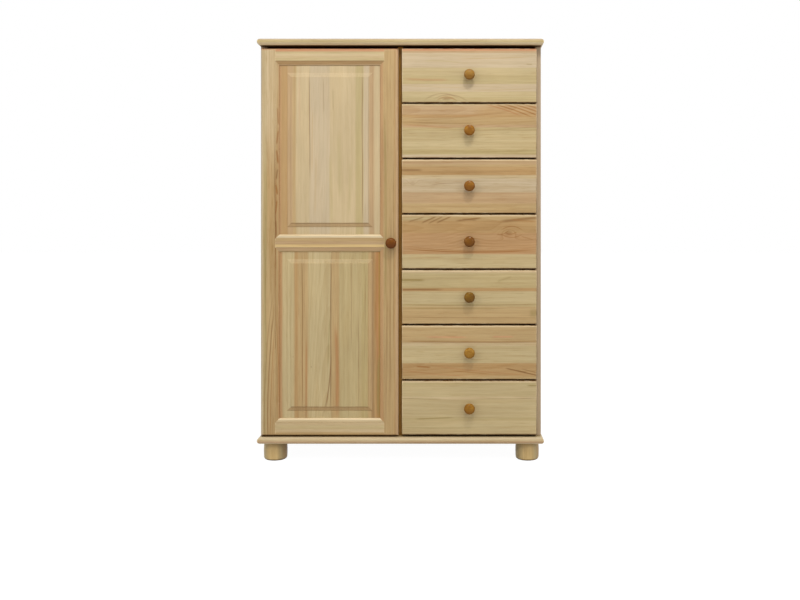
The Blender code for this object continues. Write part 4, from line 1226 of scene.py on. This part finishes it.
def make_hardware():
    plate = nickel_plate("nickel_plate")
    for index in (1, 2, 3):
        dress(smooth_copy(f"hinge_cup_{index}", "door", "hinge_steel"), plate)
        dress(smooth_copy(f"hinge_arm_{index}", "carcass", "hinge_steel"), plate)
    for where in CORNERS:
        dress(smooth_copy("shelf_pin_" + where, "carcass", "hinge_steel"), plate)


# The stage: floor, sky, lamps and camera

# The eye stands this far in front of the faces, at this height and place across, and looks straight
# ahead, with this place across in the middle of the picture
EYE_AHEAD = 3.1
EYE_HEIGHT = 0.8057
EYE_ACROSS = 0.16
FACE_CENTRE = -0.0021
IMAGE_WIDTH = 800
IMAGE_HEIGHT = 600
HORIZON_ROW = 231.9
FOCAL_PIXELS = 886
SENSOR_WIDTH = 36

FLOOR_SIZE = 60

# Lamps: place, size of the disk and power
LAMPS = {
    "overhead": ((0.50, -1.85, 3.25), 0.30, 22),
    "soft_overhead": ((0.0, -4.5, 5.5), 4.0, 98),
    "left_front": ((-2.3, -2.9, 1.9), 0.60, 17),
    "right_front": ((2.5, -2.7, 1.7), 1.40, 13),
}

# The sky's light on the object, the floor's glow to the eye, and the grey of the floor to the eye and
# to the light that it throws back
SKY_LIGHT = 0.52
FLOOR_GLOW = 0.97
FLOOR_SEEN = 0.12
FLOOR_BOUNCE = 0.60


def make_floor():
    """A pale floor that shows white to the eye and in reflections, and keeps the shadow."""
    bm = bmesh.new()
    bmesh.ops.create_grid(bm, x_segments=1, y_segments=1, size=FLOOR_SIZE / 2)
    floor = meshed("floor", bm)
    material, tree, shader = new_material("pale_floor")
    tree.nodes.remove(shader)
    seen = seen_directly(tree)
    diffuse = node("BsdfDiffuse", {"Color": blend(seen, grey(FLOOR_BOUNCE), grey(FLOOR_SEEN))})
    glow = node("Emission", {"Color": grey(1.0), "Strength": times(seen, FLOOR_GLOW)})
    both = node("AddShader", {0: diffuse.outputs[0], 1: glow.outputs[0]})
    feed(tree.nodes["Material Output"].inputs, {"Surface": both.outputs[0]})
    dress(floor, material)


def seen_directly(tree):
    """1 for camera, glossy and transmission rays."""
    path = new_node(tree, "LightPath").outputs
    rays = total(path["Is Camera Ray"], path["Is Glossy Ray"])
    return maths("ADD", rays, path["Is Transmission Ray"], clamp=True)


def make_sky():
    """White to the eye and in reflections, and a plain even light on the object."""
    world = bpy.data.worlds.new("plain_sky")
    world.use_nodes = True
    bpy.context.scene.world = world
    strength = remap(seen_directly(world.node_tree), 0.0, 1.0, SKY_LIGHT, 1.0)
    feed(world.node_tree.nodes["Background"].inputs, {"Strength": strength, "Color": grey(1.0)})


def make_lamp(name, place, target, size, power):
    data = bpy.data.lights.new(name, "AREA")
    data.shape = "DISK"
    data.size = size
    data.energy = power
    lamp = placed(name, data)
    lamp.location = place
    lamp.rotation_euler = (Vector(target) - Vector(place)).to_track_quat("-Z", "Y").to_euler()


def make_camera():
    data = bpy.data.cameras.new("eye")
    data.sensor_width = SENSOR_WIDTH
    data.lens = FOCAL_PIXELS * SENSOR_WIDTH / IMAGE_WIDTH
    data.shift_x = (FACE_CENTRE - EYE_ACROSS) * FOCAL_PIXELS / EYE_AHEAD / IMAGE_WIDTH
    data.shift_y = (HORIZON_ROW - IMAGE_HEIGHT / 2) / IMAGE_WIDTH
    camera = placed("eye", data)
    camera.location = (EYE_ACROSS, FACE - EYE_AHEAD, EYE_HEIGHT)
    camera.rotation_euler = (math.radians(90), 0, 0)
    bpy.context.scene.camera = camera


make_door()
make_drawers()
make_carcass()
make_hardware()
make_floor()
make_sky()
for lamp_name, (lamp_place, lamp_size, lamp_power) in LAMPS.items():
    make_lamp(lamp_name, lamp_place, (0, FACE, EYE_HEIGHT), lamp_size, lamp_power)
make_camera()
bpy.context.scene.view_settings.view_transform = "Standard"
